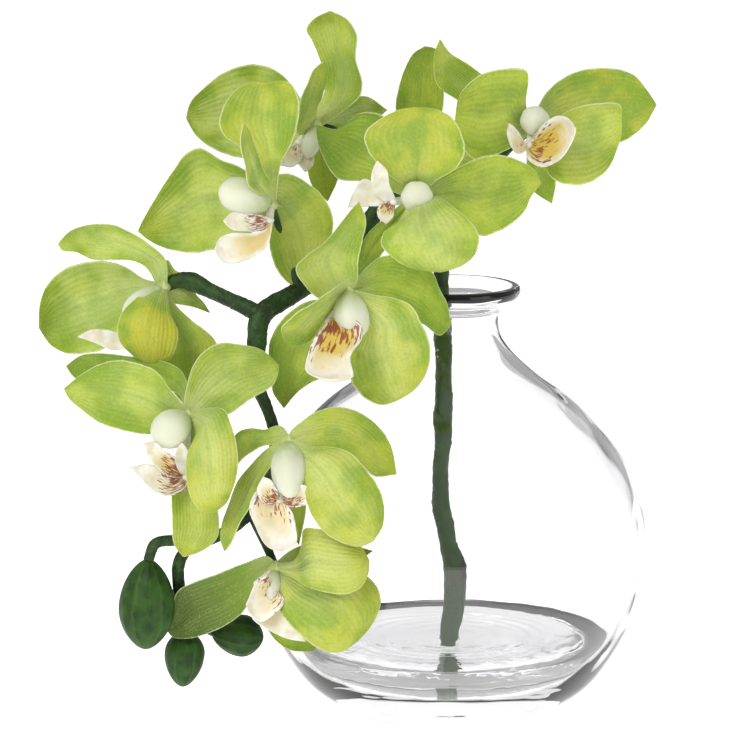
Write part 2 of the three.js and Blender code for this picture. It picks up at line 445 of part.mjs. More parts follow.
// A curved blade spanned between its two edges and cupped between them. Grown
// by some clearance it cuts room for itself out of its neighbours.
function blade(start, [left, tip, right], nears, cup, claw, thick, edge, grow, along) {
  const ahead = [0, 1].map((k) => (left[0][k] + right.at(-1)[k]) / 2 - start[k]);
  const reach = Math.hypot(...ahead);
  const aside = [(-ahead[1] * claw) / reach, (ahead[0] * claw) / reach];
  const first = [start[0] + aside[0], start[1] + aside[1]];
  const second = [start[0] - aside[0], start[1] - aside[1]];
  const one = edgeRow([first, ...left, tip], [start[2], nears[0], nears[1]], along);
  const two = edgeRow([second, ...right.toReversed(), tip], [start[2], nears[2], nears[1]], along);
  const middles = one.map((place, i) => place.clone().lerp(two[i], 0.5));
  const whole = middles.at(-1).clone().sub(middles[0]).normalize();
  const rows = middles.map((place, i) => {
    const across = two[i].clone().sub(one[i]);
    const half = across.length() / 2;
    across.normalize();
    const tangent = middles[Math.min(i + 1, along)].clone();
    tangent.sub(middles[Math.max(i - 1, 0)]).normalize().add(whole).normalize();
    const normal = across.clone().cross(tangent).normalize();
    const wide = Math.max(half, 0.5) + grow;
    const middle = place.clone();
    if (i === 0) middle.addScaledVector(tangent, -grow);
    if (i === along) middle.addScaledVector(tangent, grow);
    const front = [];
    const back = [];
    for (let j = 0; j <= 3; j += 1) {
      const v = (2 * j) / 3 - 1;
      const base = middle.clone().addScaledVector(across, wide * v);
      base.addScaledVector(normal, -cup * half * (1 - v * v));
      const outward = normal.clone().addScaledVector(across, -2 * cup * v).normalize();
      const skin = (thick + (edge - thick) * v * v) / 2 + grow;
      front.push(base.clone().addScaledVector(outward, skin));
      back.unshift(base.clone().addScaledVector(outward, -skin));
    }
    return [...front, ...back];
  });
  return gridSolid(rows, true);
}

// A round limb through [x, z, near, thickness] points.
function limb(points, sides, steps, grow) {
  const curve = new THREE.CatmullRomCurve3(points.map(seen), false, "centripetal");
  const count = (points.length - 1) * steps;
  let up = new THREE.Vector3(0.3, -0.9, 0.2);
  const rows = [];
  for (let i = 0; i <= count; i += 1) {
    const place = curve.getPoint(i / count);
    const tangent = curve.getTangent(i / count).normalize();
    up = up.clone().addScaledVector(tangent, -up.dot(tangent)).normalize();
    const side = tangent.clone().cross(up);
    const k = Math.min(Math.floor(i / steps), points.length - 2);
    const mix = i / steps - k;
    const radius = (points[k][3] * (1 - mix) + points[k + 1][3] * mix) / 2 + grow;
    if (i === 0) place.addScaledVector(tangent, -grow);
    if (i === count) place.addScaledVector(tangent, grow);
    const row = [];
    for (let j = 0; j < sides; j += 1) {
      const angle = (2 * Math.PI * j) / sides;
      row.push(place.clone()
        .addScaledVector(up, radius * Math.cos(angle))
        .addScaledVector(side, radius * Math.sin(angle)));
    }
    rows.push(row);
  }
  return gridSolid(rows, true);
}

// A round body from foot to tip, widest part-way, such as a bud or a column.
function plump(foot, tip, thick, widest, sides, grow) {
  const start = seen(foot);
  const end = seen(tip);
  const axis = end.clone().sub(start);
  const length = axis.length();
  axis.normalize();
  const up = new THREE.Vector3(0, -1, 0.2);
  up.addScaledVector(axis, -up.dot(axis));
  if (up.length() < 0.2) up.set(1, 0, 0).addScaledVector(axis, -axis.x);
  up.normalize();
  const side = axis.clone().cross(up);
  const rows = [];
  for (let i = 0; i <= 6; i += 1) {
    const t = (1 - Math.cos((Math.PI * i) / 6)) / 2;
    const u = t < widest ? t / widest / 2 : 0.5 + (t - widest) / (1 - widest) / 2;
    const radius = (thick / 2) * Math.max(Math.sin(Math.PI * u) ** 0.62, 0.16) + grow;
    const row = [];
    const push = i === 0 ? -grow : i === 6 ? grow : 0;
    const centre = start.clone().addScaledVector(axis, t * length + push);
    for (let j = 0; j < sides; j += 1) {
      const angle = (2 * Math.PI * j) / sides;
      row.push(centre.clone()
        .addScaledVector(up, radius * Math.cos(angle))
        .addScaledVector(side, radius * Math.sin(angle)));
    }
    rows.push(row);
  }
  return gridSolid(rows, true);
}

function ball(place, thick, grow) {
  const round = new THREE.SphereGeometry(thick / 2 + grow, 7, 4);
  round.deleteAttribute("normal");
  round.deleteAttribute("uv");
  const p = seen(place);
  return solidFrom(round.translate(p.x, p.y, p.z));
}

function turned(profile) {
  const outline = profile.map(([r, z]) => new THREE.Vector2(r, z));
  const geometry = new THREE.LatheGeometry(outline, VASE_SIDES);
  geometry.rotateX(Math.PI / 2);
  return solidFrom(geometry);
}

function largest(solid) {
  const bodies = solid.decompose();
  return bodies.reduce((best, body) => (body.volume() > best.volume() ? body : best));
}

const group = new THREE.Group();
group.name = "moth_orchid_stem_in_vase";
const placed = [];

function boxesMeet(a, b) {
  return [0, 1, 2].every((k) => a.min[k] < b.max[k] && b.min[k] < a.max[k]);
}

// Adds one named solid: whatever already stands keeps its room, with the gap,
// and the solid is cut back around it.
function place(name, solid, grown, paint) {
  const box = solid.boundingBox();
  const near = placed.filter((other) => boxesMeet(other.box, box));
  let kept = solid;
  if (near.length) {
    kept = solid.subtract(Manifold.union(near.map((other) => other.grown)));
    kept = largest(kept);
  }
  kept = largest(kept.simplify(0.18));
  placed.push({ name, grown, box: grown.boundingBox() });
  const mesh = kept.getMesh();
  const geometry = new THREE.BufferGeometry();
  geometry.setAttribute("position", new THREE.Float32BufferAttribute(mesh.vertProperties, 3));
  geometry.setIndex(new THREE.Uint32BufferAttribute(mesh.triVerts, 1));
  geometry.computeVertexNormals();
  const [colour, roughness] = PAINT[paint];
  const material = new THREE.MeshStandardMaterial({ color: colour, roughness, metalness: 0 });
  if (paint === "glass" || paint === "water") {
    material.transparent = true;
    material.opacity = 0.35;
  }
  const made = new THREE.Mesh(geometry, material);
  made.name = name;
  group.add(made);
}

function bladesOf(bloom, piece, grow) {
  const rows = BLADES.filter((row) => row[0] === bloom && row[1] === piece);
  return rows.map(([, , left, tip, right, nears, cup]) => {
    const outline = [left, tip, right];
    return blade(BLOOMS[bloom], outline, nears, cup, 1.7, PETAL_THICK, PETAL_EDGE, grow, BLADE_ROWS);
  });
}

// The vase and the stem.
const glass = turned([...VASE_OUTSIDE, ...VASE_INSIDE]);
place("glass_vase", glass, glass, "glass");

function stemSolid(grow) {
  const limbs = BRANCHES.map((row) => limb(row, 6, 1, grow));
  return Manifold.union([limb(STEM, 8, 1, grow), ...limbs]);
}
place("stem", stemSolid(0), stemSolid(GAP), "stem");

const inside = VASE_INSIDE.filter(([, z]) => z < WATER_LEVEL).map(([r, z]) => [r, z]);
const [low, high] = [VASE_INSIDE.find(([, z]) => z < WATER_LEVEL),
  VASE_INSIDE.filter(([, z]) => z >= WATER_LEVEL).at(-1)];
const mix = (WATER_LEVEL - low[1]) / (high[1] - low[1]);
const pool = [[0, WATER_LEVEL], [low[0] + mix * (high[0] - low[0]) - WATER_GAP, WATER_LEVEL],
  ...inside.map(([r, z]) => [Math.max(r - WATER_GAP, 0), z + WATER_GAP])];
const water = turned(pool.reverse());
place("water", water, water, "water");

BUDS.forEach(([name, foot, tip, thick, widest]) => {
  place(name, plump(foot, tip, thick, widest, 10, 0), plump(foot, tip, thick, widest, 10, GAP), "bud");
});

// The blooms, each a whorl of sepals, two petals, a column and a lip.
Object.entries(BLOOMS).forEach(([bloom, heart]) => {
  const whorl = (grow) => Manifold.union([ball(heart, HEART, grow), ...bladesOf(bloom, "sepals", grow)]);
  place(bloom + "_sepals", whorl(0), whorl(GAP), "petal");
  const [, head, thick, widest] = COLUMNS.find((row) => row[0] === bloom);
  place(bloom + "_column", plump(heart, head, thick, widest, 7, 0),
    plump(heart, head, thick, widest, 7, GAP), "column");
});
Object.keys(BLOOMS).forEach((bloom) => {
  const names = new Set(BLADES.filter((row) => row[0] === bloom).map((row) => row[1]));
  names.delete("sepals");
  names.forEach((piece) => {
    place(bloom + "_" + piece, bladesOf(bloom, piece, 0)[0], bladesOf(bloom, piece, GAP)[0], "petal");
  });
});
Object.entries(BLOOMS).forEach(([bloom, heart]) => {
  const root = ROOTS[bloom];
  const lobes = (grow) => Manifold.union([
    limb([[...heart, 2.4], [...root, 2.8]], 5, 1, grow),
    ball(root, 3.4, grow),
    ...LIPS.filter((row) => row[0] === bloom).map(([, left, tip, right, nears, cup]) =>
      blade(root, [left, tip, right], nears, cup, 1.2, LIP_THICK, LIP_EDGE, grow, LOBE_ROWS)),
  ]);
  place(bloom + "_lip", lobes(0), lobes(GAP), "lip");
});

export default group;
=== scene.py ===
"""A spray of green moth orchid in a round clear glass vase, with its looks.

Millimetres in the tables and metres in Blender, +Z up, the foot of the vase on
z = 0 around the Z axis, and the spray leaning out to the left, -X.
"""

import math

import bpy
import numpy as np
from bpy.props import FloatProperty, FloatVectorProperty, IntProperty, PointerProperty
from bpy.types import Operator, Panel, PropertyGroup
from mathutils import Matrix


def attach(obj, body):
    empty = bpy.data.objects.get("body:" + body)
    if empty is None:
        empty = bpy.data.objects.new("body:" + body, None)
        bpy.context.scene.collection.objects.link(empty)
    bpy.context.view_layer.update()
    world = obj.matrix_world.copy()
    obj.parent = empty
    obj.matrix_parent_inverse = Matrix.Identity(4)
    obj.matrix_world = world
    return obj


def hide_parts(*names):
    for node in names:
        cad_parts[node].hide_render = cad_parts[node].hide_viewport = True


bl_info = {
    "name": "Moth orchid stem in vase",
    "version": (1, 0, 0),
    "blender": (4, 5, 0),
    "location": "View3D > Sidebar > Orchid",
    "description": "Builds the blooms, buds, stem, vase and pool of a moth orchid arrangement",
    "category": "Object",
}

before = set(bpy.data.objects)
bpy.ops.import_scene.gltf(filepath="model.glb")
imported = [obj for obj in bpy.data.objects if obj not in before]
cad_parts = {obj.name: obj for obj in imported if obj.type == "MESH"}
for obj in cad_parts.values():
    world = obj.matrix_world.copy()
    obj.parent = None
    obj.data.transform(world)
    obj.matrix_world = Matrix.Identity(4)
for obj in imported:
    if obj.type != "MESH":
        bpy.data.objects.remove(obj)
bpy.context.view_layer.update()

MM = 0.001

# The spray's points are read off on a flat sheet that faces the eye: where the
# eye is, how far it looks down, how far off the sheet is, and the x and z at
# the sheet's middle, in millimetres and degrees.
EYE = np.array([-26.6, -1770.0, 430.0])
EYE_PITCH = 9.88
SHEET_AWAY = 1806.1
SHEET_MIDDLE = (-26.6, 119.3)
PICTURE_WIDTH = 267.86
# How many veins a petal shows, how far the paper floor reaches and what the
# lights face, in metres.
VEINS = 14
FLOOR_REACH = 8
LIGHT_AIM = (-0.04, 0, 0.13)

# Blooms: the middle of each, where its pieces meet: x across, z up, and how
# far it stands towards the eye.
BLOOMS = {
    "bloom_01": (29.5, 207.5, 2),
    "bloom_02": (-9.1, 200.4, -26),
    "bloom_03": (-11.6, 183.2, 30),
    "bloom_04": (-48, 208.6, 2),
    "bloom_05": (-63.8, 180, 33),
    "bloom_06": (-36.3, 148.9, 44),
    "bloom_07": (-102.3, 150.7, 29),
    "bloom_08": (-93.4, 104.6, 57),
    "bloom_09": (-57.7, 95.4, 59),
    "bloom_10": (-62, 50.4, 57),
}
HEART = 5.6

# Blades: bloom, piece, then the outline clockwise as seen from the eye: one edge
# from the heart to the tip, the tip, the other edge back to the heart, each
# point x across and z up. Next how far the middle of the first edge, the tip and
# the middle of the second edge stand towards the eye, the cupping as a share of
# the half width, and the looks: deep green (above 1 it adds painted olive shade
# towards the tip), yellow blush and paleness.
BLADES = [
    ("bloom_01", "petal_left", [(22.3, 200.7), (9.5, 196.1), (4, 202)], (2, 211),
     [(3.5, 219), (9, 225), (16, 227.8), (27.7, 227.9), (27, 216)], (12, 10, 12), 0.2, 0.25, 0.2, 0.1),
    ("bloom_01", "petal_right", [(36, 209.5), (43, 213.8), (50.9, 216.1), (60.9, 215.7)], (61.6, 208.2),
     [(60.5, 202.1), (56.3, 192.5), (48.4, 187.5), (37.3, 188.9), (32.6, 197)], (12, 10, 14), 0.28, 0.1,
      0.3, 0.35),
    ("bloom_01", "sepals", [(34.8, 220.7), (45.2, 227.5), (56.6, 228.9), (66, 226.4), (70.9, 220.7)],
     (74.1, 215.7), [(69.5, 208.2), (61.3, 202.5), (48, 202)], (-5, -8, -5), 0.15, 0.55, 0.7, 0.15),
    ("bloom_01", "sepals", [(15, 210), (2.7, 217.5), (-4.1, 222.5), (-5.6, 229), (-5.2, 234.8)],
     (-3.4, 239.4), [(0.2, 234.4), (6.5, 230.4), (13, 225.6), (22, 218)], (-8, -10, -8), 0.15, 0.2, 0.2, 0.3),
    ("bloom_01", "sepals", [(36.5, 197), (38, 188)], (36.6, 180.4), [(29, 186), (27.5, 197)],
     (-2, -4, -2), 0.2, 0.3, 0.1, 0.1),
    ("bloom_02", "petal_left", [(-16, 194), (-27, 191)], (-35, 200), [(-28, 210), (-17, 209)],
     (-30, -32, -30), 0.2, 0.1, 0.1, 0.4),
    ("bloom_02", "petal_right", [(-1, 209), (9, 211)], (17.5, 201), [(10, 192), (-1, 193)],
     (-30, -32, -30), 0.2, 0.2, 0.1, 0.1),
    ("bloom_02", "sepals", [(-16, 207), (-19.1, 213.6), (-18, 222.5), (-15.6, 229.4), (-12.7, 234.4)],
     (-8.8, 236.8), [(-4.6, 235.4), (-3.6, 228), (-2, 219.3), (-3.6, 209)], (-28, -26, -28), 0.18, 0.7,
      0.3, 0.0),
    ("bloom_02", "sepals", [(-11, 192), (-16, 182)], (-25, 177), [(-25, 186), (-18, 197)],
     (-30, -30, -30), 0.2, 0.3, 0.1, 0.0),
    ("bloom_02", "sepals", [(0, 198), (9, 190)], (10, 178), [(0, 180), (-8, 191)], (-30, -30, -30), 0.2,
     0.3, 0.1, 0.0),
    ("bloom_03", "petal_upper", [(-17.3, 187.5), (-22.8, 191.8), (-28.4, 198.2), (-30.4, 205),
     (-25, 210.4), (-18.4, 213.9)], (-12, 215), [(-5, 214.3), (1, 210.8), (4.3, 205.4), (5.4, 199),
      (2.6, 193.4), (-4.1, 189.2)], (44, 42, 44), 0.3, 0.25, 0.6, 0.1),
    ("bloom_03", "petal_lower", [(-4, 182.4), (0.9, 179.3), (6.3, 175), (10.5, 168.9), (9.3, 162.6),
     (4.4, 158.2)], (-3.4, 156.1), [(-12.7, 157.1), (-19.5, 160.4), (-24.2, 165.6), (-23.2, 170.2),
      (-18.4, 174.2)], (50, 46, 50), -0.25, 0.1, 0.15, 0.5),
    ("bloom_03", "sepals", [(-3.8, 189.3), (3.8, 193.9), (10.6, 197), (18.4, 197.8), (25.5, 195.7),
     (30.5, 192.3)], (32.8, 187.9), [(29, 182.9), (27, 177.9), (22.7, 173.6), (17, 170.4), (10.9, 168.9),
      (4, 176.4)], (31, 26, 33), 0.2, 0.2, 0.2, 0.1),
    ("bloom_03", "sepals", [(-22.3, 185.4), (-31.3, 188.4), (-39.8, 189.3), (-44.7, 196.1),
     (-47.2, 203.2)], (-47.7, 208.9), [(-40.5, 207.3), (-31.6, 212.9), (-23, 211.4), (-18, 199.6)],
      (25, 18, 24), 0.3, 0.9, 0.1, 0.0),
    ("bloom_03", "sepals", [(-19.5, 169.3), (-25.5, 160.6)], (-33, 153.4),
     [(-33.2, 161.8), (-29.4, 169.3), (-22, 176.4)], (27, 24, 24), 0.2, 0.7, 0.1, 0.0),
    ("bloom_04", "petal_left", [(-57, 199.6), (-67, 196.6), (-76, 197), (-84.8, 200.4), (-90.5, 204.8)],
     (-94.2, 211), [(-92.4, 217), (-87, 222.4), (-80, 227.6), (-71, 230.2), (-62.3, 228.2), (-56, 222.6),
      (-50.6, 213)], (7, 8, 5), 0.3, 0.2, 0.2, 0.75),
    ("bloom_04", "petal_upper", [(-47, 215), (-44.6, 221.5), (-45.6, 229.4), (-49, 238.6), (-51, 242.8),
     (-48, 246.9)], (-42.7, 249.4), [(-36.3, 246.3), (-33.2, 240.6), (-33.8, 232.6), (-31.4, 223.6),
      (-32.4, 218.6), (-38.6, 213)], (-1, 6, 5), 0.35, 0.25, 0.3, 0.35),
    ("bloom_04", "sepals", [(-53.8, 205), (-52.9, 215), (-51, 222.9), (-48.8, 228.2)], (-45, 231.4),
     [(-43.8, 227.9), (-44.5, 222.9), (-47, 213.9)], (15, 10, 6), 0.1, 0.3, 0.2, 0.2),
    ("bloom_04", "sepals", [(-39, 215.6), (-30.2, 218.9)], (-22, 213.9), [(-29, 208.9), (-38, 207)],
     (-4, -6, -4), 0.15, 0.0, 0.1, 1.0),
    ("bloom_04", "sepals", [(-41.6, 199.6), (-39.6, 190.7)], (-43.4, 181.2),
     [(-49.3, 187.4), (-51, 196.6)], (4, 4, 4), 0.2, 0.5, 0.2, 0.0),
    ("bloom_05", "petal_left", [(-71.3, 169.5), (-77.7, 166), (-84.6, 164), (-92, 162.9), (-102.3, 165),
     (-107.6, 167.6)], (-111.4, 170.6), [(-109, 175.4), (-104.1, 183.9), (-99.5, 191.1), (-93.8, 198.7),
      (-88.8, 200.2), (-82.3, 196.6), (-74, 193.4), (-67, 187)], (26, 20, 26), 0.3, 0.35, 0.25, 0.4),
    ("bloom_05", "petal_upper", [(-67.6, 193), (-74.2, 200.6), (-80, 204.2), (-82.2, 208.6),
     (-80.3, 216.2), (-76.2, 221.3), (-71, 223.7)], (-66.3, 224),
      [(-57.2, 223.8), (-53.9, 217.5), (-54.1, 210), (-56.2, 202.4), (-60.2, 194.6)], (36, 31, 38), 0.38,
       0.3, 0.45, 0.15),
    ("bloom_05", "sepals", [(-67.6, 183.4), (-71.8, 187.6), (-74.2, 196.1), (-75, 203.6)], (-73.4, 209),
     [(-70.6, 204.6), (-67.6, 197.1), (-64.6, 188.9)], (58, 56, 44), 0.1, 0.25, 0.2, 0.35),
    ("bloom_05", "sepals", [(-63, 190), (-57.3, 191.2), (-50.9, 187.9), (-45.4, 183.4), (-41.6, 175.6),
     (-42.7, 165.7), (-46.3, 156.4)], (-52, 149.4), [(-57.3, 152), (-61.4, 156.6), (-64, 163.4),
      (-64, 171)], (29, 30, 31), 0.25, 0.15, 0.4, 0.3),
    ("bloom_05", "sepals", [(-57, 177), (-49, 169)], (-49.4, 158.6), [(-57.4, 163), (-63.4, 172.4)],
     (18, 9, 18), 0.2, 0.3, 0.1, 0.1),
    ("bloom_06", "petal_right", [(-27, 148), (-19.8, 146.8), (-13.6, 144), (-10.4, 138.6), (-7.7, 132.6),
     (-6.8, 126.8), (-8, 120.3), (-11.6, 114.8)], (-17, 110.9),
      [(-23.8, 108.6), (-28.6, 110), (-32.8, 113.7), (-35.6, 118.4), (-36.8, 124.6), (-33.6, 131)],
       (60, 62, 60), 0.32, 0.1, 0.5, 0.45),
    ("bloom_06", "petal_left", [(-37.3, 145), (-44.8, 137.9), (-50.4, 131.6), (-54.8, 129.4)],
     (-59, 131.6), [(-59.9, 136.3), (-55, 140), (-47.4, 145.6), (-38.4, 152.2)], (54, 62, 68), 0.15, 0.3,
      0.2, 0.4),
    ("bloom_06", "sepals", [(-40.9, 147.5), (-46.2, 146.6), (-51.8, 151.4), (-55, 157), (-51.6, 161.4),
     (-44.3, 167), (-38.4, 174.3), (-34.9, 178.7)], (-32.2, 181.3),
      [(-29.8, 174.4), (-31.2, 166.6), (-32.6, 159.6), (-33, 153)], (50, 52, 50), 0.28, 0.2, 0.3, 0.45),
    ("bloom_06", "sepals", [(-32.3, 155), (-28.4, 158.9), (-23.6, 161.8), (-14.1, 161.1), (-6.2, 156),
     (-3.4, 149.6), (-0.9, 145)], (0.6, 137.1), [(-3.4, 133.4), (-8.8, 137.1), (-17.7, 142),
      (-27, 144.8)], (45, 48, 47), 0.22, 0.65, 0.1, 0.0),
    ("bloom_06", "sepals", [(-39.1, 138.9), (-39.8, 128.2), (-44.6, 118.6), (-49, 116.6), (-54, 113.4)],
     (-59.2, 107.3), [(-63.2, 113.4), (-63, 120), (-64.6, 127.9), (-63, 134), (-58.4, 140.6),
      (-51.6, 145.2), (-43.6, 146.8)], (40, 36, 38), 0.22, 0.45, 0.2, 0.1),
    ("bloom_07", "petal_left", [(-108.8, 146.1), (-114.8, 138.9), (-119.5, 131.8), (-124, 128.2),
     (-130, 127), (-136.6, 127), (-142.2, 129.8)], (-146.7, 136),
      [(-146.2, 145), (-143.4, 151.8), (-137.7, 157.1), (-131, 159.3), (-122, 159.8), (-115.2, 157.9),
       (-108, 153.4)], (14, 12, 14), 0.35, 0.2, 0.2, 0.6),
    ("bloom_07", "petal_front", [(-99.8, 142.5), (-97, 133.6), (-99.8, 125.4)], (-107, 122.6),
     [(-113.8, 126.8), (-118, 131.6), (-118.6, 136.8), (-116.3, 142.3), (-110.6, 147.6)], (44, 44, 46),
      -0.3, 0.15, 0.9, 0.0),
    ("bloom_07", "sepals", [(-108, 157.4), (-113, 159.8), (-119.5, 160.4), (-127.3, 160.4),
     (-133.4, 163.4), (-138, 163.9)], (-139.9, 166.2), [(-135.8, 170.6), (-131.2, 172.7), (-125.4, 173.4),
      (-119.4, 172.8), (-113.6, 169.8), (-107.6, 165.6), (-101.6, 160.6)], (27, 25, 33), 0.25, 0.3, 0.2,
       0.45),
    ("bloom_07", "sepals", [(-99, 146), (-91.3, 138.2), (-87, 135), (-83, 130), (-84.8, 121.1),
     (-89.8, 112.1)], (-94.1, 108), [(-99.1, 113.9), (-102.3, 122.9), (-103.4, 131.8), (-104.6, 140.7)],
      (33, 32, 33), 0.2, 0.25, 0.35, 0.2),
    ("bloom_07", "sepals", [(-100.6, 160.4), (-98, 156.9), (-92.7, 154), (-90.7, 148.4), (-88, 145.5)],
     (-85.3, 141.4), [(-92, 143.7), (-97, 144.4), (-101.4, 146)], (27, 20, 26), 0.2, 0.1, 0.1, 0.7),
    ("bloom_08", "petal_right", [(-86.3, 107.4), (-80.6, 107), (-78, 101.4), (-76, 94), (-75.8, 86),
     (-77.4, 79), (-79.8, 73.4)], (-84, 70), [(-88.8, 70.8), (-92.6, 76.2), (-94, 83.6), (-93, 91.8),
      (-90.4, 98.4)], (71, 72, 70), -0.32, 0.0, 0.55, 0.5),
    ("bloom_08", "petal_left", [(-96.3, 112.1), (-107, 115), (-121.3, 115.4), (-133.4, 118)],
     (-137.1, 122.5), [(-131.6, 126.3), (-123.8, 126.9), (-115, 126), (-104, 124.8), (-95.6, 120.7),
      (-92.6, 113)], (46, 44, 46), 0.2, 0.85, 0.0, 0.0),
    ("bloom_08", "sepals", [(-94.8, 108.9), (-93.6, 116.1), (-91.8, 122.1), (-88.4, 127.1),
     (-82.8, 130.6), (-75.2, 130.2), (-66.8, 128.2)], (-60.8, 123),
      [(-62.7, 116.1), (-69.8, 111.4), (-78.8, 105.4), (-86.3, 103.6)], (54, 46, 54), 0.3, 0.45, 0.1, 0.45),
    ("bloom_08", "sepals", [(-98, 98.9), (-105.5, 98), (-112.3, 98.6), (-119.1, 100.4), (-125.5, 102.7),
     (-130.9, 106.6), (-135.9, 110.9)], (-137.8, 114.4), [(-132.3, 118.9), (-125.5, 122.9),
      (-118.6, 124.5), (-111.6, 123.6), (-105, 120.8), (-99.6, 114)], (60, 58, 60), 0.2, 0.4, 0.2, 0.3),
    ("bloom_08", "sepals", [(-89, 96), (-85.5, 82), (-82.6, 70), (-82.9, 61.4), (-88, 56.6)], (-95, 54.2),
     [(-98.4, 58.9), (-99, 68), (-99.2, 78.2), (-96.6, 92.5)], (62, 66, 62), 0.25, 0.1, 0.3, 0.3),
    ("bloom_09", "petal_right", [(-49, 93.6), (-41.3, 93.4), (-35.2, 91.2), (-29.8, 85.5), (-25.7, 79.4),
     (-23.6, 73), (-23.8, 65.6)], (-27.1, 59.9), [(-32, 58), (-38.8, 59.6), (-44.7, 63.2), (-48.8, 68.6),
      (-51.6, 76.4), (-54.6, 86)], (77, 80, 76), -0.28, 0.1, 0.5, 0.45),
    ("bloom_09", "petal_left", [(-62.3, 88.9), (-67.5, 80.4), (-70.7, 73.2), (-74.8, 66.6), (-78, 60)],
     (-80.3, 56.2), [(-81.7, 61), (-79.6, 73.2), (-76, 81.4), (-69.8, 88.4), (-64.4, 92.9)], (72, 68, 60),
      0.15, 0.35, 0.15, 0.3),
    ("bloom_09", "sepals", [(-56.4, 99.8), (-52.7, 102.9), (-48.4, 105.9), (-41.3, 107.9), (-35.2, 106.9),
     (-29.3, 103.9), (-24.3, 99.6), (-20.9, 93.9)], (-18.8, 83.8),
      [(-27, 83.4), (-31, 87.1), (-37.3, 91.2), (-47, 92.4)], (58, 64, 66), 0.25, 0.35, 0.4, 0.15),
    ("bloom_09", "sepals", [(-62.3, 94.6), (-68.4, 92.8), (-73.4, 89.8)], (-76.8, 86.4),
     [(-78.6, 93), (-76.4, 98.6), (-70.9, 100.4), (-65.5, 99.8), (-60, 101)], (56, 46, 50), 0.2, 0.45,
      0.15, 0.2),
    ("bloom_09", "sepals", [(-52, 81.8), (-51.3, 71.1)], (-53.8, 58.4), [(-58.6, 67.5), (-60.8, 78.2)],
     (53, 50, 53), 0.2, 0.5, 0.2, 0.0),
    ("bloom_10", "petal_upper", [(-55.5, 53.2), (-52.4, 58.8), (-51.7, 64.3), (-46.3, 64.5),
     (-37.3, 61.6), (-31.8, 58.4)], (-28.6, 53.2), [(-29, 48.2), (-31.6, 43.7), (-36.6, 41.2),
      (-43.6, 41.6), (-51.3, 43.9), (-56.4, 46.8)], (70, 71, 74), -0.25, 0.1, 0.45, 0.45),
    ("bloom_10", "petal_lower", [(-57, 49), (-42.7, 47.9), (-28.6, 46.8), (-24.6, 40), (-25.3, 34.8),
     (-28, 29.4)], (-32.7, 24.2), [(-38.2, 20.5), (-43, 20.2), (-47.6, 22.2), (-51.8, 25.2), (-57, 30.4),
      (-60.6, 35.4), (-61.8, 42)], (64, 71, 71), -0.22, 0.1, 0.5, 0.35),
    # This sepal hangs in shadow: its deep green look of 1.9 paints olive shade on it.
    ("bloom_10", "sepals", [(-67, 46.4), (-69.9, 40.7), (-73.9, 34.6), (-80.2, 29.5), (-86.3, 26.8),
     (-93.4, 25), (-98.8, 25.6)], (-101, 28.3), [(-98.9, 34), (-97.2, 42), (-90.2, 45.9), (-82.7, 48.4),
      (-73, 52), (-65.2, 54.6)], (50, 46, 52), 0.15, 1.9, 0.1, 0.0),
    ("bloom_10", "sepals", [(-55.2, 57.4), (-42.7, 60.4)], (-26.9, 56.6), [(-37.3, 49.6), (-53.4, 46.1)],
     (51, 48, 51), 0.2, 0.4, 0.1, 0.0),
    ("bloom_10", "sepals", [(-57.6, 42.5), (-51.2, 31), (-45.6, 24.6)], (-49, 20.6),
     [(-56.6, 21.2), (-62.2, 24.6), (-66, 31.1), (-65.5, 40.7)], (50, 48, 50), 0.2, 0.7, 0.1, 0.0),
]

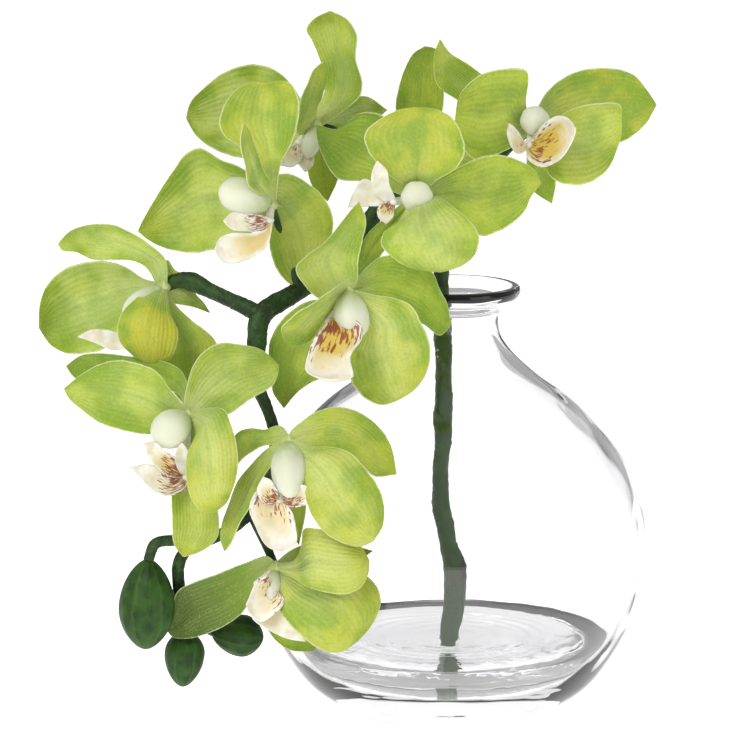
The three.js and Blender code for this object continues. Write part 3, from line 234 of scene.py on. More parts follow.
# The root of each lip, under its column, and its lobes with the same columns:
# an outline, three nearnesses and the cupping, then yellowness and speckles.
ROOTS = {
    "bloom_01": (28.4, 201.5, 9),
    "bloom_02": (-9.1, 191.4, -31),
    "bloom_03": (-20, 181, 37),
    "bloom_04": (-53.6, 202.4, 6.4),
    "bloom_05": (-64.2, 174.6, 38),
    "bloom_06": (-43, 138.6, 54),
    "bloom_07": (-107, 143, 28.6),
    "bloom_08": (-94, 83, 62),
    "bloom_09": (-60.6, 74.4, 70),
    "bloom_10": (-68.4, 44.8, 61),
}
LIPS = [
    ("bloom_01", [(30.9, 205.4), (34.1, 209.2), (38, 211.6), (41.8, 211)], (44.9, 207),
     [(42.7, 200.4), (38, 195.4), (32.3, 193.6), (27.9, 196.6)], (20, 27, 18), 0.5, 1.0, 0.5),
    ("bloom_01", [(24.9, 198), (22.3, 200.4), (20.5, 205.4)], (21.2, 209.1), [(24.4, 206.4), (26.6, 203)],
     (15, 20, 17), 0.3, 0.4, 0.3),
    ("bloom_02", [(-5, 193), (-5.4, 188)], (-9, 185), [(-12.6, 188), (-13, 193)], (-36, -38, -36), 0.4,
     0.6, 0.4),
    ("bloom_03", [(-24.4, 182), (-27.3, 185.6), (-27.7, 191.2)], (-25.8, 195.9),
     [(-22.4, 192.4), (-21.4, 187.1)], (42, 44, 42), 0.35, 0.0, 0.1),
    ("bloom_03", [(-27, 179.6), (-32.6, 179.4)], (-36.4, 179.2),
     [(-34.2, 185), (-30.4, 189.3), (-26.4, 187.6), (-23.2, 184)], (40, 42, 40), 0.3, 0.15, 0.1),
    ("bloom_03", [(-19.6, 178.4), (-20.3, 175.6)], (-22.6, 173.2), [(-25.4, 175.9), (-25.2, 179.4)],
     (41, 43, 41), 0.3, 0.7, 1.0),
    ("bloom_04", [(-52.6, 196.6), (-56.3, 193.6)], (-61, 194.3), [(-60, 198.9), (-55.9, 201.6)],
     (13, 16, 13), 0.35, 0.35, 0.4),
    ("bloom_04", [(-48.8, 198.4), (-48.8, 194.4)], (-51.6, 191.8), [(-54.4, 195.6)], (11, 14, 11), 0.3,
     0.6, 0.3),
    ("bloom_05", [(-66, 171.3), (-71.3, 170.7), (-77.7, 171.3)], (-80.8, 174.4),
     [(-77.3, 177.4), (-70.2, 176.8)], (45, 47, 43), 0.3, 0.1, 0.9),
    ("bloom_05", [(-64.8, 165.9), (-68.6, 162.3), (-74.8, 159.4), (-81, 159.6)], (-84, 163.9),
     [(-82, 168), (-77.7, 169.9), (-71.3, 169.9), (-66, 171)], (45, 48, 46), 0.35, 0.75, 0.0),
    ("bloom_06", [(-32.2, 138.2), (-31.3, 132.5), (-35.5, 126.1), (-34.6, 118.4)], (-42.7, 117.5),
     [(-51.2, 120.7), (-50.7, 125.7), (-47.9, 132.9), (-42, 139.6)], (66, 75, 68), 0.3, 1.0, 1.0),
    ("bloom_07", [(-114.1, 129.8), (-120.5, 128.2), (-126, 130.6)], (-132.9, 132.9),
     [(-128, 135.4), (-122.4, 135.4), (-116.4, 134.4)], (28, 24, 28), 0.25, 0.0, 0.0),
    ("bloom_08", [(-99.6, 82.7), (-103.4, 85.2), (-107.2, 89.4)], (-109, 94.8),
     [(-105, 95.2), (-101.4, 92), (-97.4, 89.6)], (68, 72, 67), 0.35, 0.7, 1.0),
    ("bloom_08", [(-93.8, 78.8), (-100.5, 76.2), (-105, 77.3), (-109.3, 81.2)], (-114, 86.2),
     [(-109.8, 87.3), (-105, 86.8), (-100.5, 83.4), (-96.6, 84.4)], (68, 72, 67), 0.3, 0.25, 0.8),
    ("bloom_08", [(-97.2, 86), (-98, 91)], (-95.8, 95.6), [(-93.2, 92), (-91.8, 86)], (66, 67, 66), 0.3,
     0.0, 0.0),
    ("bloom_09", [(-57, 71.6), (-54.9, 64.9), (-55, 58.9)], (-59.7, 55.9),
     [(-65.4, 58.4), (-69.3, 65.5), (-71.5, 71.8), (-68.4, 78.4), (-64.4, 79.6)], (76, 80, 74), 0.35,
      0.55, 0.5),
    ("bloom_09", [(-66.6, 73.6), (-68.6, 78.6)], (-66.6, 83), [(-63.6, 81.4), (-61.8, 77.4)],
     (74, 73, 74), 0.3, 0.6, 1.0),
    ("bloom_09", [(-58, 76.2), (-53.4, 80)], (-49.6, 79.4), [(-49.4, 74.6), (-55, 72)], (74, 73, 74), 0.3,
     0.5, 1.0),
    ("bloom_10", [(-58.8, 38.9), (-62, 34.4), (-67, 31.4), (-71.4, 34.2)], (-72.6, 37.3),
     [(-70.6, 42), (-68.2, 46.3), (-64.6, 48.2)], (68, 69, 67), 0.45, 0.6, 0.9),
    ("bloom_10", [(-59.6, 37.1), (-56.6, 31.1), (-53, 27.1)], (-51.1, 24.1),
     [(-57.7, 25.1), (-64.8, 28.4), (-70.7, 33), (-68.4, 40)], (66, 69, 66), 0.3, 0.4, 0.2),
]

# Columns: bloom, head, thickness and how far along it is widest; each starts
# at its heart.
COLUMNS = [
    ("bloom_01", (31.2, 212.2, 13), 10, 0.6),
    ("bloom_02", (-9.1, 197.6, -37), 8, 0.6),
    ("bloom_03", (-11.6, 182.6, 42), 10.8, 0.66),
    ("bloom_04", (-50.6, 196.8, 13), 6.2, 0.6),
    ("bloom_05", (-81.6, 185.6, 46), 12.2, 0.66),
    ("bloom_06", (-34.4, 132.4, 60), 12.6, 0.62),
    ("bloom_07", (-116.4, 139.8, 40), 9, 0.6),
    ("bloom_08", (-105.2, 95.8, 68), 12.8, 0.54),
    ("bloom_09", (-57, 75.8, 76), 12.2, 0.5),
    ("bloom_10", (-64, 39, 66), 5.4, 0.6),
]

# Stem: points along it and its thickness there.
STEM = [
    (-0.5, 13, 0, 5.2), (-0.2, 24.6, 0, 6.4), (1.6, 38, 0, 7), (1.8, 51, 0, 8.6),
    (-0.6, 60, 0, 6.2), (-3.4, 78, 0, 6), (-2.4, 96, 0, 6), (-2.2, 128, 0, 6),
    (-3, 153, 0, 5.6), (-3.4, 168, 0, 5.8), (-7, 181, 3, 6), (-13.4, 187, 8, 6),
    (-21.3, 183.6, 14, 6), (-27.7, 175.7, 19, 6), (-39.1, 161, 24, 6),
    (-53.4, 149.6, 30, 6.4), (-67, 140.6, 38, 7.4), (-69, 128.5, 42, 6.6),
    (-68.4, 115.7, 44, 4.8), (-64.8, 106.5, 45, 4), (-62.6, 98.5, 45, 4),
    (-62.6, 87, 43, 4), (-67, 77.5, 42, 4), (-71.6, 69.3, 43, 4),
    (-83.6, 61.4, 45, 4), (-92.6, 58.2, 47, 4.2), (-96.3, 53, 47, 4.4),
    (-96.8, 43.6, 45, 4.2), (-95, 32, 41, 3.6), (-94, 27.6, 40, 3),
]
BRANCHES = [
    [(-3.4, 168, 0, 4.6), (8, 184, -6, 3.6), (22, 201, -5, 3), (29.5, 207.5, -0.4, 3)],
    [(-6, 179, 2, 4.4), (-8, 190, -12, 3.4), (-9.1, 200.3, -24, 3)],
    [(-13.4, 187, 8, 4.4), (-12.6, 185.4, 18, 3.4), (-11.7, 183.4, 27.8, 3)],
    [(-19, 185, 12, 4.4), (-30, 198, 4, 3.4), (-41, 206.5, 0, 3), (-47.8, 208.5, 0, 3)],
    [(-53.4, 149.6, 30, 4.4), (-58.6, 164, 25, 3.6), (-63.6, 179.2, 31.2, 3)],
    [(-39.1, 161, 24, 4.4), (-37.2, 155, 32, 3.4), (-36.4, 149.2, 42, 3)],
    [(-67, 140.6, 38, 6.2), (-78, 146, 34, 5.4), (-86, 149.6, 30.5, 5.4), (-92, 152.6, 28, 6.8),
     (-97, 153, 27, 5.4), (-101.8, 150.9, 27, 4.2)],
    [(-68.6, 118, 44, 4), (-80, 112.6, 48, 3.2), (-93, 104.8, 55.2, 3)],
    [(-62.8, 99.6, 45, 4), (-60, 97.4, 50, 3.2), (-57.8, 95.6, 57, 3)],
    [(-71, 70.4, 43, 3.8), (-66.4, 60.6, 48, 3.2), (-62.2, 50.8, 55.2, 3)],
    [(-91.4, 58.8, 47, 4), (-99, 60.2, 49, 3.9), (-105, 59, 50, 3.9), (-107.6, 53, 50, 3.6)],
    [(-95.4, 35, 42, 3.4), (-89, 29.6, 37, 3), (-84.4, 27.4, 34.4, 2.8)],
]

# Buds: name, foot, tip, widest thickness and how far along it is widest.
BUDS = [
    ("bud_large", (-107.6, 53.6, 50), (-108.6, 21.4, 50), 19.4, 0.54),
    ("bud_end", (-94, 28.2, 40), (-95.4, 8, 40), 14, 0.4),
    ("bud_small", (-85, 27.4, 34.4), (-66.4, 25.4, 34), 14.8, 0.6),
]

# Vase: half sections, radius and height, outside and inside.
VASE_OUTSIDE = [
    (0, 0), (30, 0), (33.5, 1.2), (41, 4.6), (51.3, 12.1), (62.4, 28.5),
    (68, 43.4), (70.2, 57.6), (69.2, 72.5), (63.7, 88), (54.7, 101.3),
    (43.8, 112.4), (31.4, 121.5), (21.4, 131), (17.8, 137), (17.2, 141.5),
    (17.9, 145.4), (22.8, 149), (25, 151.6), (24.8, 153.6), (23.4, 154.4),
]
VASE_INSIDE = [
    (21.6, 153.4), (16.8, 149.2), (14.6, 143), (14.6, 137.2), (18.6, 129.2),
    (29.2, 119.2), (41.4, 110), (52.2, 99), (61, 86.2), (66.4, 71.4),
    (67.4, 57.6), (65.3, 44.2), (59.8, 29.8), (48.8, 15.4), (36, 9.4),
    (20, 7.2), (0, 6.6),
]


class PetalSettings(PropertyGroup):
    """Sizes and colours of the petals and sepals."""

    thickness: FloatProperty(
        name="Thickness", description="Thickness of a petal along its midrib",
        default=0.9 * MM, min=0.2 * MM, max=2 * MM, unit="LENGTH", precision=5)
    edge: FloatProperty(
        name="Edge", description="Thickness of a petal at its edge",
        default=0.35 * MM, min=0.1 * MM, max=2 * MM, unit="LENGTH", precision=5)
    ruffle: FloatProperty(
        name="Ruffle", description="How far the edge waves in and out",
        default=0.55 * MM, min=0, max=3 * MM, unit="LENGTH", precision=5)
    crease: FloatProperty(
        name="Crease", description="Depth of the crease along the midrib",
        default=0.9 * MM, min=0, max=2 * MM, unit="LENGTH", precision=5)
    rows: IntProperty(name="Rows", description="Grid rows along a petal", default=48, min=8, max=90)
    columns: IntProperty(name="Columns", description="Grid columns across a petal", default=24, min=6, max=60)
    colour: FloatVectorProperty(
        name="Colour", description="Main yellow-green of a petal",
        subtype="COLOR_GAMMA", size=3, default=(0.682, 0.757, 0.231), min=0, max=1)


class BloomSettings(PropertyGroup):
    """Sizes of the lips and columns."""

    lip_thickness: FloatProperty(
        name="Lip thickness", description="Thickness of a lip's lobes",
        default=1.0 * MM, min=0.3 * MM, max=3 * MM, unit="LENGTH", precision=5)
    heart: FloatProperty(
        name="Heart", description="Width of the round foot where the sepals join",
        default=HEART * MM, min=2 * MM, max=10 * MM, unit="LENGTH", precision=5)


class StemSettings(PropertyGroup):
    """Sizes and colour of the stem."""

    lumps: FloatProperty(
        name="Lumps", description="Height of the lumps on the stem",
        default=0.3 * MM, min=0, max=1 * MM, unit="LENGTH", precision=5)
    colour: FloatVectorProperty(
        name="Colour", description="Dark green of the stem",
        subtype="COLOR_GAMMA", size=3, default=(0.176, 0.306, 0.094), min=0, max=1)


class VaseSettings(PropertyGroup):
    """Sizes of the vase and its pool."""

    water_level: FloatProperty(
        name="Water level", description="Height of the pool's surface above the foot",
        default=26.6 * MM, min=10 * MM, max=100 * MM, unit="LENGTH", precision=4)
    water_gap: FloatProperty(
        name="Water gap", description="Room between the pool and the glass",
        default=0.35 * MM, min=0, max=1 * MM, unit="LENGTH", precision=5)
    sides: IntProperty(name="Sides", description="Grid columns round the vase", default=160, min=32, max=256)


class StageSettings(PropertyGroup):
    """Light on the scene."""

    key_power: FloatProperty(
        name="Key power", description="Strength of the large soft light on the upper left, in watts",
        default=32, min=0, max=500)
    floor_glow: FloatProperty(
        name="Floor glow", description="Light that the backlit paper floor gives by itself",
        default=0.72, min=0, max=2)
    sky: FloatProperty(
        name="Sky", description="Brightness of the white surroundings", default=0.42, min=0, max=3)


def seen(points):
    """Points given as x, z and nearness, as metres in the frame. The line of
    sight through the sheet at x and z meets the upright plane of the vase's
    axis; the point is moved from there towards the eye by the share that its
    nearness is of the eye's distance."""
    points = np.atleast_2d(np.asarray(points, float))[:, :3]
    pitch = math.radians(EYE_PITCH)
    out = points[:, :1] - SHEET_MIDDLE[0]
    up = points[:, 1:2] - SHEET_MIDDLE[1]
    sight = (out * np.array([1.0, 0, 0]) + up * np.array([0, math.sin(pitch), math.cos(pitch)])
             + SHEET_AWAY * np.array([0, math.cos(pitch), -math.sin(pitch)]))
    flat = EYE + sight * (-EYE[1] / sight[:, 1:2])
    share = (points[:, 2] / -EYE[1])[:, None]
    return (flat + (EYE - flat) * share) * MM


def smooth_line(points, where):
    """A centripetal Catmull-Rom curve through the points, sampled at the given
    shares of its length. Each stretch is a cubic whose end slopes are those of
    its neighbours, weighted by the square roots of their distances."""
    first = 2 * points[0] - points[1]
    last = 2 * points[-1] - points[-2]
    knots = np.vstack([first, points, last])
    steps = np.maximum(np.linalg.norm(np.diff(knots, axis=0), axis=1) ** 0.5, 1e-6)
    p0, p1, p2, p3 = knots[:-3], knots[1:-2], knots[2:-1], knots[3:]
    d0, d1, d2 = steps[:-2, None], steps[1:-1, None], steps[2:, None]
    slope_in = ((p1 - p0) / d0 - (p2 - p0) / (d0 + d1) + (p2 - p1) / d1) * d1
    slope_out = ((p2 - p1) / d1 - (p3 - p1) / (d1 + d2) + (p3 - p2) / d2) * d1
    t = np.linspace(0, 1, 25)[None, :, None]
    a, b = p1[:, None], p2[:, None]
    m, n = slope_in[:, None], slope_out[:, None]
    fine = a + m * t + (3 * (b - a) - 2 * m - n) * t ** 2 + (2 * (a - b) + m + n) * t ** 3
    fine = np.vstack([fine[:, :-1].reshape(-1, 3), points[-1:]])
    length = np.concatenate([[0], np.cumsum(np.linalg.norm(np.diff(fine, axis=0), axis=1))])
    return np.stack([np.interp(where * length[-1], length, fine[:, k]) for k in range(3)], 1)


def unit(vectors):
    return vectors / np.maximum(np.linalg.norm(vectors, axis=-1, keepdims=True), 1e-12)


def along(values):
    """Unit direction from each row's forward neighbour, less its backward one."""
    return unit(np.gradient(values, axis=0))


def join(parts):
    """Several grids (points, faces, {attribute: values}) as one mesh's arrays."""
    points, faces, extras, start = [], [], {}, 0
    for part_points, part_faces, part_extras in parts:
        points.append(part_points)
        faces.append(part_faces + start)
        for key, values in part_extras.items():
            extras.setdefault(key, []).append(values)
        start += len(part_points)
    return np.vstack(points), np.vstack(faces), {k: np.concatenate(v) for k, v in extras.items()}


def ring_grid(grid, extras, caps=True):
    """Faces for a grid of rows by columns whose last column meets its first, with
    one point closing each end. Extras are values per grid point."""
    rows, columns = grid.shape[:2]
    index = np.arange(rows * columns).reshape(rows, columns)
    nxt = np.roll(index, -1, axis=1)
    quads = np.stack([index[:-1], nxt[:-1], nxt[1:], index[1:]], -1).reshape(-1, 4)
    points = grid.reshape(-1, 3)
    flat = {k: v.reshape(-1, *v.shape[2:]) for k, v in extras.items()}
    if not caps:
        return points, quads, flat
    ends = np.stack([grid[0].mean(0), grid[-1].mean(0)])
    a, b = rows * columns, rows * columns + 1
    head = np.stack([index[0], np.full(columns, a), np.full(columns, a), nxt[0]], -1)
    tail = np.stack([nxt[-1], np.full(columns, b), np.full(columns, b), index[-1]], -1)
    points = np.vstack([points, ends])
    for key, values in extras.items():
        tips = np.stack([values[0].mean(0), values[-1].mean(0)])
        flat[key] = np.concatenate([flat[key], tips])
    return points, np.vstack([quads, head, tail]), flat


def add_mesh(name, points, faces, extras, material):
    """One mesh object at the origin; a face that names a point twice is a
    triangle. Attributes: floats, or pairs as the map named blade."""
    mesh = bpy.data.meshes.new(name)
    triangle = faces[:, 1] == faces[:, 2]
    quads, triangles = faces[~triangle], faces[triangle][:, [0, 1, 3]]
    loops = np.concatenate([quads.ravel(), triangles.ravel()]).astype(np.int32)
    totals = np.concatenate([np.full(len(quads), 4), np.full(len(triangles), 3)])
    starts = np.concatenate([[0], np.cumsum(totals)[:-1]]).astype(np.int32)
    mesh.vertices.add(len(points))
    mesh.vertices.foreach_set("co", points.astype(np.float32).ravel())
    mesh.loops.add(len(loops))
    mesh.loops.foreach_set("vertex_index", loops)
    mesh.polygons.add(len(totals))
    mesh.polygons.foreach_set("loop_start", starts)
    mesh.update(calc_edges=True)
    for key, values in extras.items():
        if values.ndim == 2:
            layer = mesh.uv_layers.new(name=key)
            layer.data.foreach_set("uv", values[loops].astype(np.float32).ravel())
        else:
            layer = mesh.attributes.new(key, "FLOAT", "POINT")
            layer.data.foreach_set("value", values.astype(np.float32))
    mesh.polygons.foreach_set("use_smooth", np.ones(len(totals), bool))
    mesh.validate()
    mesh.update()
    piece = bpy.data.objects.new(name, mesh)
    bpy.context.scene.collection.objects.link(piece)
    piece.data.materials.append(material)
    return piece


def finish_piece(piece, node):
    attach(piece, "root")
    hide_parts(node)


def blade(start, outline, near, cup, thick, edge, rows, columns, ruffle, crease, claw, seed, looks):
    """A petal spanned between its two edges. Each edge is a Catmull-Rom curve
    from the claw, a little to the side of the start, to the tip; its nearness
    is the parabola through those of the start, the edge's middle and the tip.
    Across, v runs from -1 to 1 along the chord between the edges, and the skin
    sinks by the cup times the half width times (1 - v**2). The edge waves by v
    squared times slow sines of u, and a narrow bell of v makes the crease. The
    skin is then offset to both sides."""
    rng = np.random.default_rng(seed)
    even = np.linspace(0, 1, rows)
    u = 0.994 * (even / 2 + (1 - np.cos(np.pi * even)) / 4)
    left, tip, right = outline
    base = np.array(start[:2], float)
    ahead = (np.array(left[0]) + np.array(right[-1])) / 2 - base
    aside = np.array([-ahead[1], ahead[0]]) * claw / np.linalg.norm(ahead)
    phase = rng.uniform(0, 2 * np.pi, 8)
    edges = []
    for number, (first, points, reach) in enumerate(
            ((base + aside, left, near[0]), (base - aside, right[::-1], near[2]))):
        row = np.array([first, *points, tip])
        line = smooth_line(np.column_stack([row, 0 * row[:, 0]]), u)
        nearness = start[2] * (1 - u) * (1 - 2 * u) + reach * 4 * u * (1 - u) + near[1] * u * (2 * u - 1)
        line[:, 2] = nearness
        edges.append(seen(line))
    middle = (edges[0] + edges[1]) / 2
    chord = edges[1] - edges[0]
    half = np.linalg.norm(chord, axis=1) / 2
    across = unit(chord)
    tangent = unit(along(middle) + unit(middle[-1] - middle[0]))
    normal = unit(np.cross(across, tangent))
    v = np.sin(np.linspace(-np.pi / 2, np.pi / 2, columns))
    fray = 1 + 0.01 * np.sin(41 * u + phase[0]) * np.sin(23 * u + phase[1])
    reach = (half * fray)[:, None] * v
    sink = -cup * half[:, None] * (1 - v ** 2)
    slow = np.where(v > 0, np.sin(7 * u + phase[2])[:, None], np.sin(6 * u + phase[3])[:, None])
    quick = np.where(v > 0, np.sin(19 * u + phase[4])[:, None], np.sin(16 * u + phase[5])[:, None])
    swell = np.sin(np.pi * even)[:, None]
    wave = ruffle * v ** 2 * (slow + 0.4 * quick) * swell ** 0.5
    dent = -crease * np.exp(-(v / 0.13) ** 2) * swell * (1 - u)[:, None] ** 0.5
    size = np.minimum(1, half / (8 * MM))[:, None]
    folds = 0.45 * crease * size * np.sin(5.5 * v + 2.2 * u[:, None] + phase[6]) * swell
    folds = folds + 0.14 * crease * size * np.sin(14 * v + phase[7]) * swell
    skin = middle[:, None] + across[:, None] * reach[..., None]
    skin = skin + normal[:, None] * (sink + wave + dent + folds)[..., None]
    outward = unit(normal[:, None] - across[:, None] * (2 * cup * v)[None, :, None])
    depth = ((thick + (edge - thick) * v ** 2) / 2)[None, :, None] * np.ones((rows, 1, 1))
    depth[-1] = edge / 2
    front = skin + outward * depth
    back = skin - outward * depth
    grid = np.concatenate([front, back[:, ::-1]], 1)
    place = np.concatenate([v, v[::-1]]) / 2 + 0.5
    maps = np.stack(np.broadcast_arrays(place[None, :], u[:, None]), -1)
    face = np.broadcast_to(np.concatenate([0 * v + 1, 0 * v])[None, :], grid.shape[:2])
    extras = {"blade": maps, "face": face}
    for key, value in looks.items():
        extras[key] = np.full(grid.shape[:2], float(value))
    return ring_grid(grid, extras)


def limb(points, sides, per, lumps, seed):
    """A round stalk through its points: rings around the curve, their radius
    following the given thicknesses, with slow lumps of sines along and around
    and a grain of small random bits."""
    points = np.asarray(points, float)
    count = (len(points) - 1) * per + 1
    where = np.linspace(0, 1, count)
    line = smooth_line(seen(points), where)
    knots = seen(points)
    share = np.concatenate([[0], np.cumsum(np.linalg.norm(np.diff(knots, axis=0), axis=1))])
    radius = np.interp(where, share / share[-1], points[:, 3]) / 2 * MM
    tangent = along(line)
    up = unit(np.array([0.3, -0.9, 0.2]) - (tangent @ np.array([0.3, -0.9, 0.2]))[:, None] * tangent)
    side = np.cross(tangent, up)
    angle = np.arange(sides) / sides * 2 * np.pi
    rng = np.random.default_rng(seed)
    turn = rng.uniform(0, 6.28, 3)
    length = where * share[-1] / MM
    bumps = (np.sin(length / 5.3 + turn[0])[:, None] * np.sin(2 * angle + turn[1])
             + 0.6 * np.sin(length / 2.4 + turn[2])[:, None] * np.cos(3 * angle))
    grain = 0.35 * rng.standard_normal((count, sides))
    size = radius[:, None] + lumps * (bumps + grain) * np.minimum(1, radius[:, None] / (3 * MM))
    grid = line[:, None] + size[..., None] * (
        up[:, None] * np.cos(angle)[None, :, None] + side[:, None] * np.sin(angle)[None, :, None])
    around = angle / (2 * np.pi)
    maps = np.stack(np.broadcast_arrays(around[None, :], where[:, None]), -1)
    return ring_grid(grid, {"blade": maps})


def plump(foot, tip, thick, widest, sides, rows, power, ribs):
    """A round body from foot to tip: its radius is a sine of the share of the
    way, raised to a power and widest part-way, with shallow ribs around it."""
    start, end = seen(foot)[0], seen(tip)[0]
    axis = end - start
    length = np.linalg.norm(axis)
    axis = axis / length
    up = np.array([0, -1, 0.2])
    up = up - up @ axis * axis
    up = np.array([1.0, 0, 0]) - axis * axis[0] if np.linalg.norm(up) < 0.2 else up
    up = up / np.linalg.norm(up)
    side = np.cross(axis, up)
    t = (1 - np.cos(np.linspace(0, np.pi, rows))) / 2
    u = np.where(t < widest, t / widest / 2, 0.5 + (t - widest) / (1 - widest) / 2)
    radius = thick / 2 * MM * np.maximum(np.sin(np.pi * u) ** power, 0.02)
    angle = np.arange(sides) / sides * 2 * np.pi
    rib = 1 + ribs * np.abs(np.cos(3 * angle))[None, :] * np.sin(np.pi * t)[:, None]
    size = radius[:, None] * rib
    centre = start + axis * (t * length)[:, None]
    grid = centre[:, None] + size[..., None] * (
        up * np.cos(angle)[None, :, None] + side * np.sin(angle)[None, :, None])
    maps = np.stack(np.broadcast_arrays((angle / 2 / np.pi)[None, :], t[:, None]), -1)
    return ring_grid(grid, {"blade": maps})


def lathe(profile, sides, soften):
    """A profile of radius and height, smoothed by a Catmull-Rom curve and carried
    round the Z axis."""
    knots = np.array([(r * MM, 0, z * MM) for r, z in profile])
    line = smooth_line(knots, np.linspace(0, 1, soften)) if soften else knots
    line[:, 0] = np.maximum(line[:, 0], 1e-7)
    angle = np.arange(sides) / sides * 2 * np.pi
    grid = np.stack([
        line[:, :1] * np.cos(angle), line[:, :1] * np.sin(angle),
        np.repeat(line[:, 2:], sides, 1)], -1)
    return ring_grid(grid, {})


def linear(colour):
    """An sRGB hex colour, or three sRGB shares, as linear red, green, blue and 1."""
    if isinstance(colour, str):
        colour = [int(colour[i:i + 2], 16) / 255 for i in (1, 3, 5)]
    shares = np.asarray(colour, float)
    out = np.where(shares <= 0.04045, shares / 12.92, ((shares + 0.055) / 1.055) ** 2.4)
    return (*out.tolist(), 1.0)


def add_node(material, kind, inputs=None, **settings):
    """A node with its settings, and its inputs set to values or linked to sockets."""
    node = material.node_tree.nodes.new(kind)
    for key, value in settings.items():
        setattr(node, key, value)
    for key, value in (inputs or {}).items():
        if isinstance(value, bpy.types.NodeSocket):
            material.node_tree.links.new(value, node.inputs[key])
        else:
            node.inputs[key].default_value = value
    return node


def new_material(name):
    material = bpy.data.materials.get(name) or bpy.data.materials.new(name)
    material.use_nodes = True
    material.node_tree.nodes.clear()
    return material


def blend_colours(material, share, low, high):
    """A colour between two, by a share."""
    mix = add_node(material, "ShaderNodeMix", {0: share, 6: low, 7: high}, data_type="RGBA")
    return mix.outputs[2]


def span(material, value, low, high, to_low=0.0, to_high=1.0, smooth=True):
    """A value's range carried to another, and held at its ends."""
    node = add_node(material, "ShaderNodeMapRange", {
        0: value, 1: low, 2: high, 3: to_low, 4: to_high},
        interpolation_type="SMOOTHSTEP" if smooth else "LINEAR")
    return node.outputs[0]


def reckon(material, operation, first, second=0.0):
    node = add_node(material, "ShaderNodeMath", {0: first, 1: second}, operation=operation)
    return node.outputs[0]


def output(material, shader):
    add_node(material, "ShaderNodeOutputMaterial", {0: shader.outputs[0]})
    return material


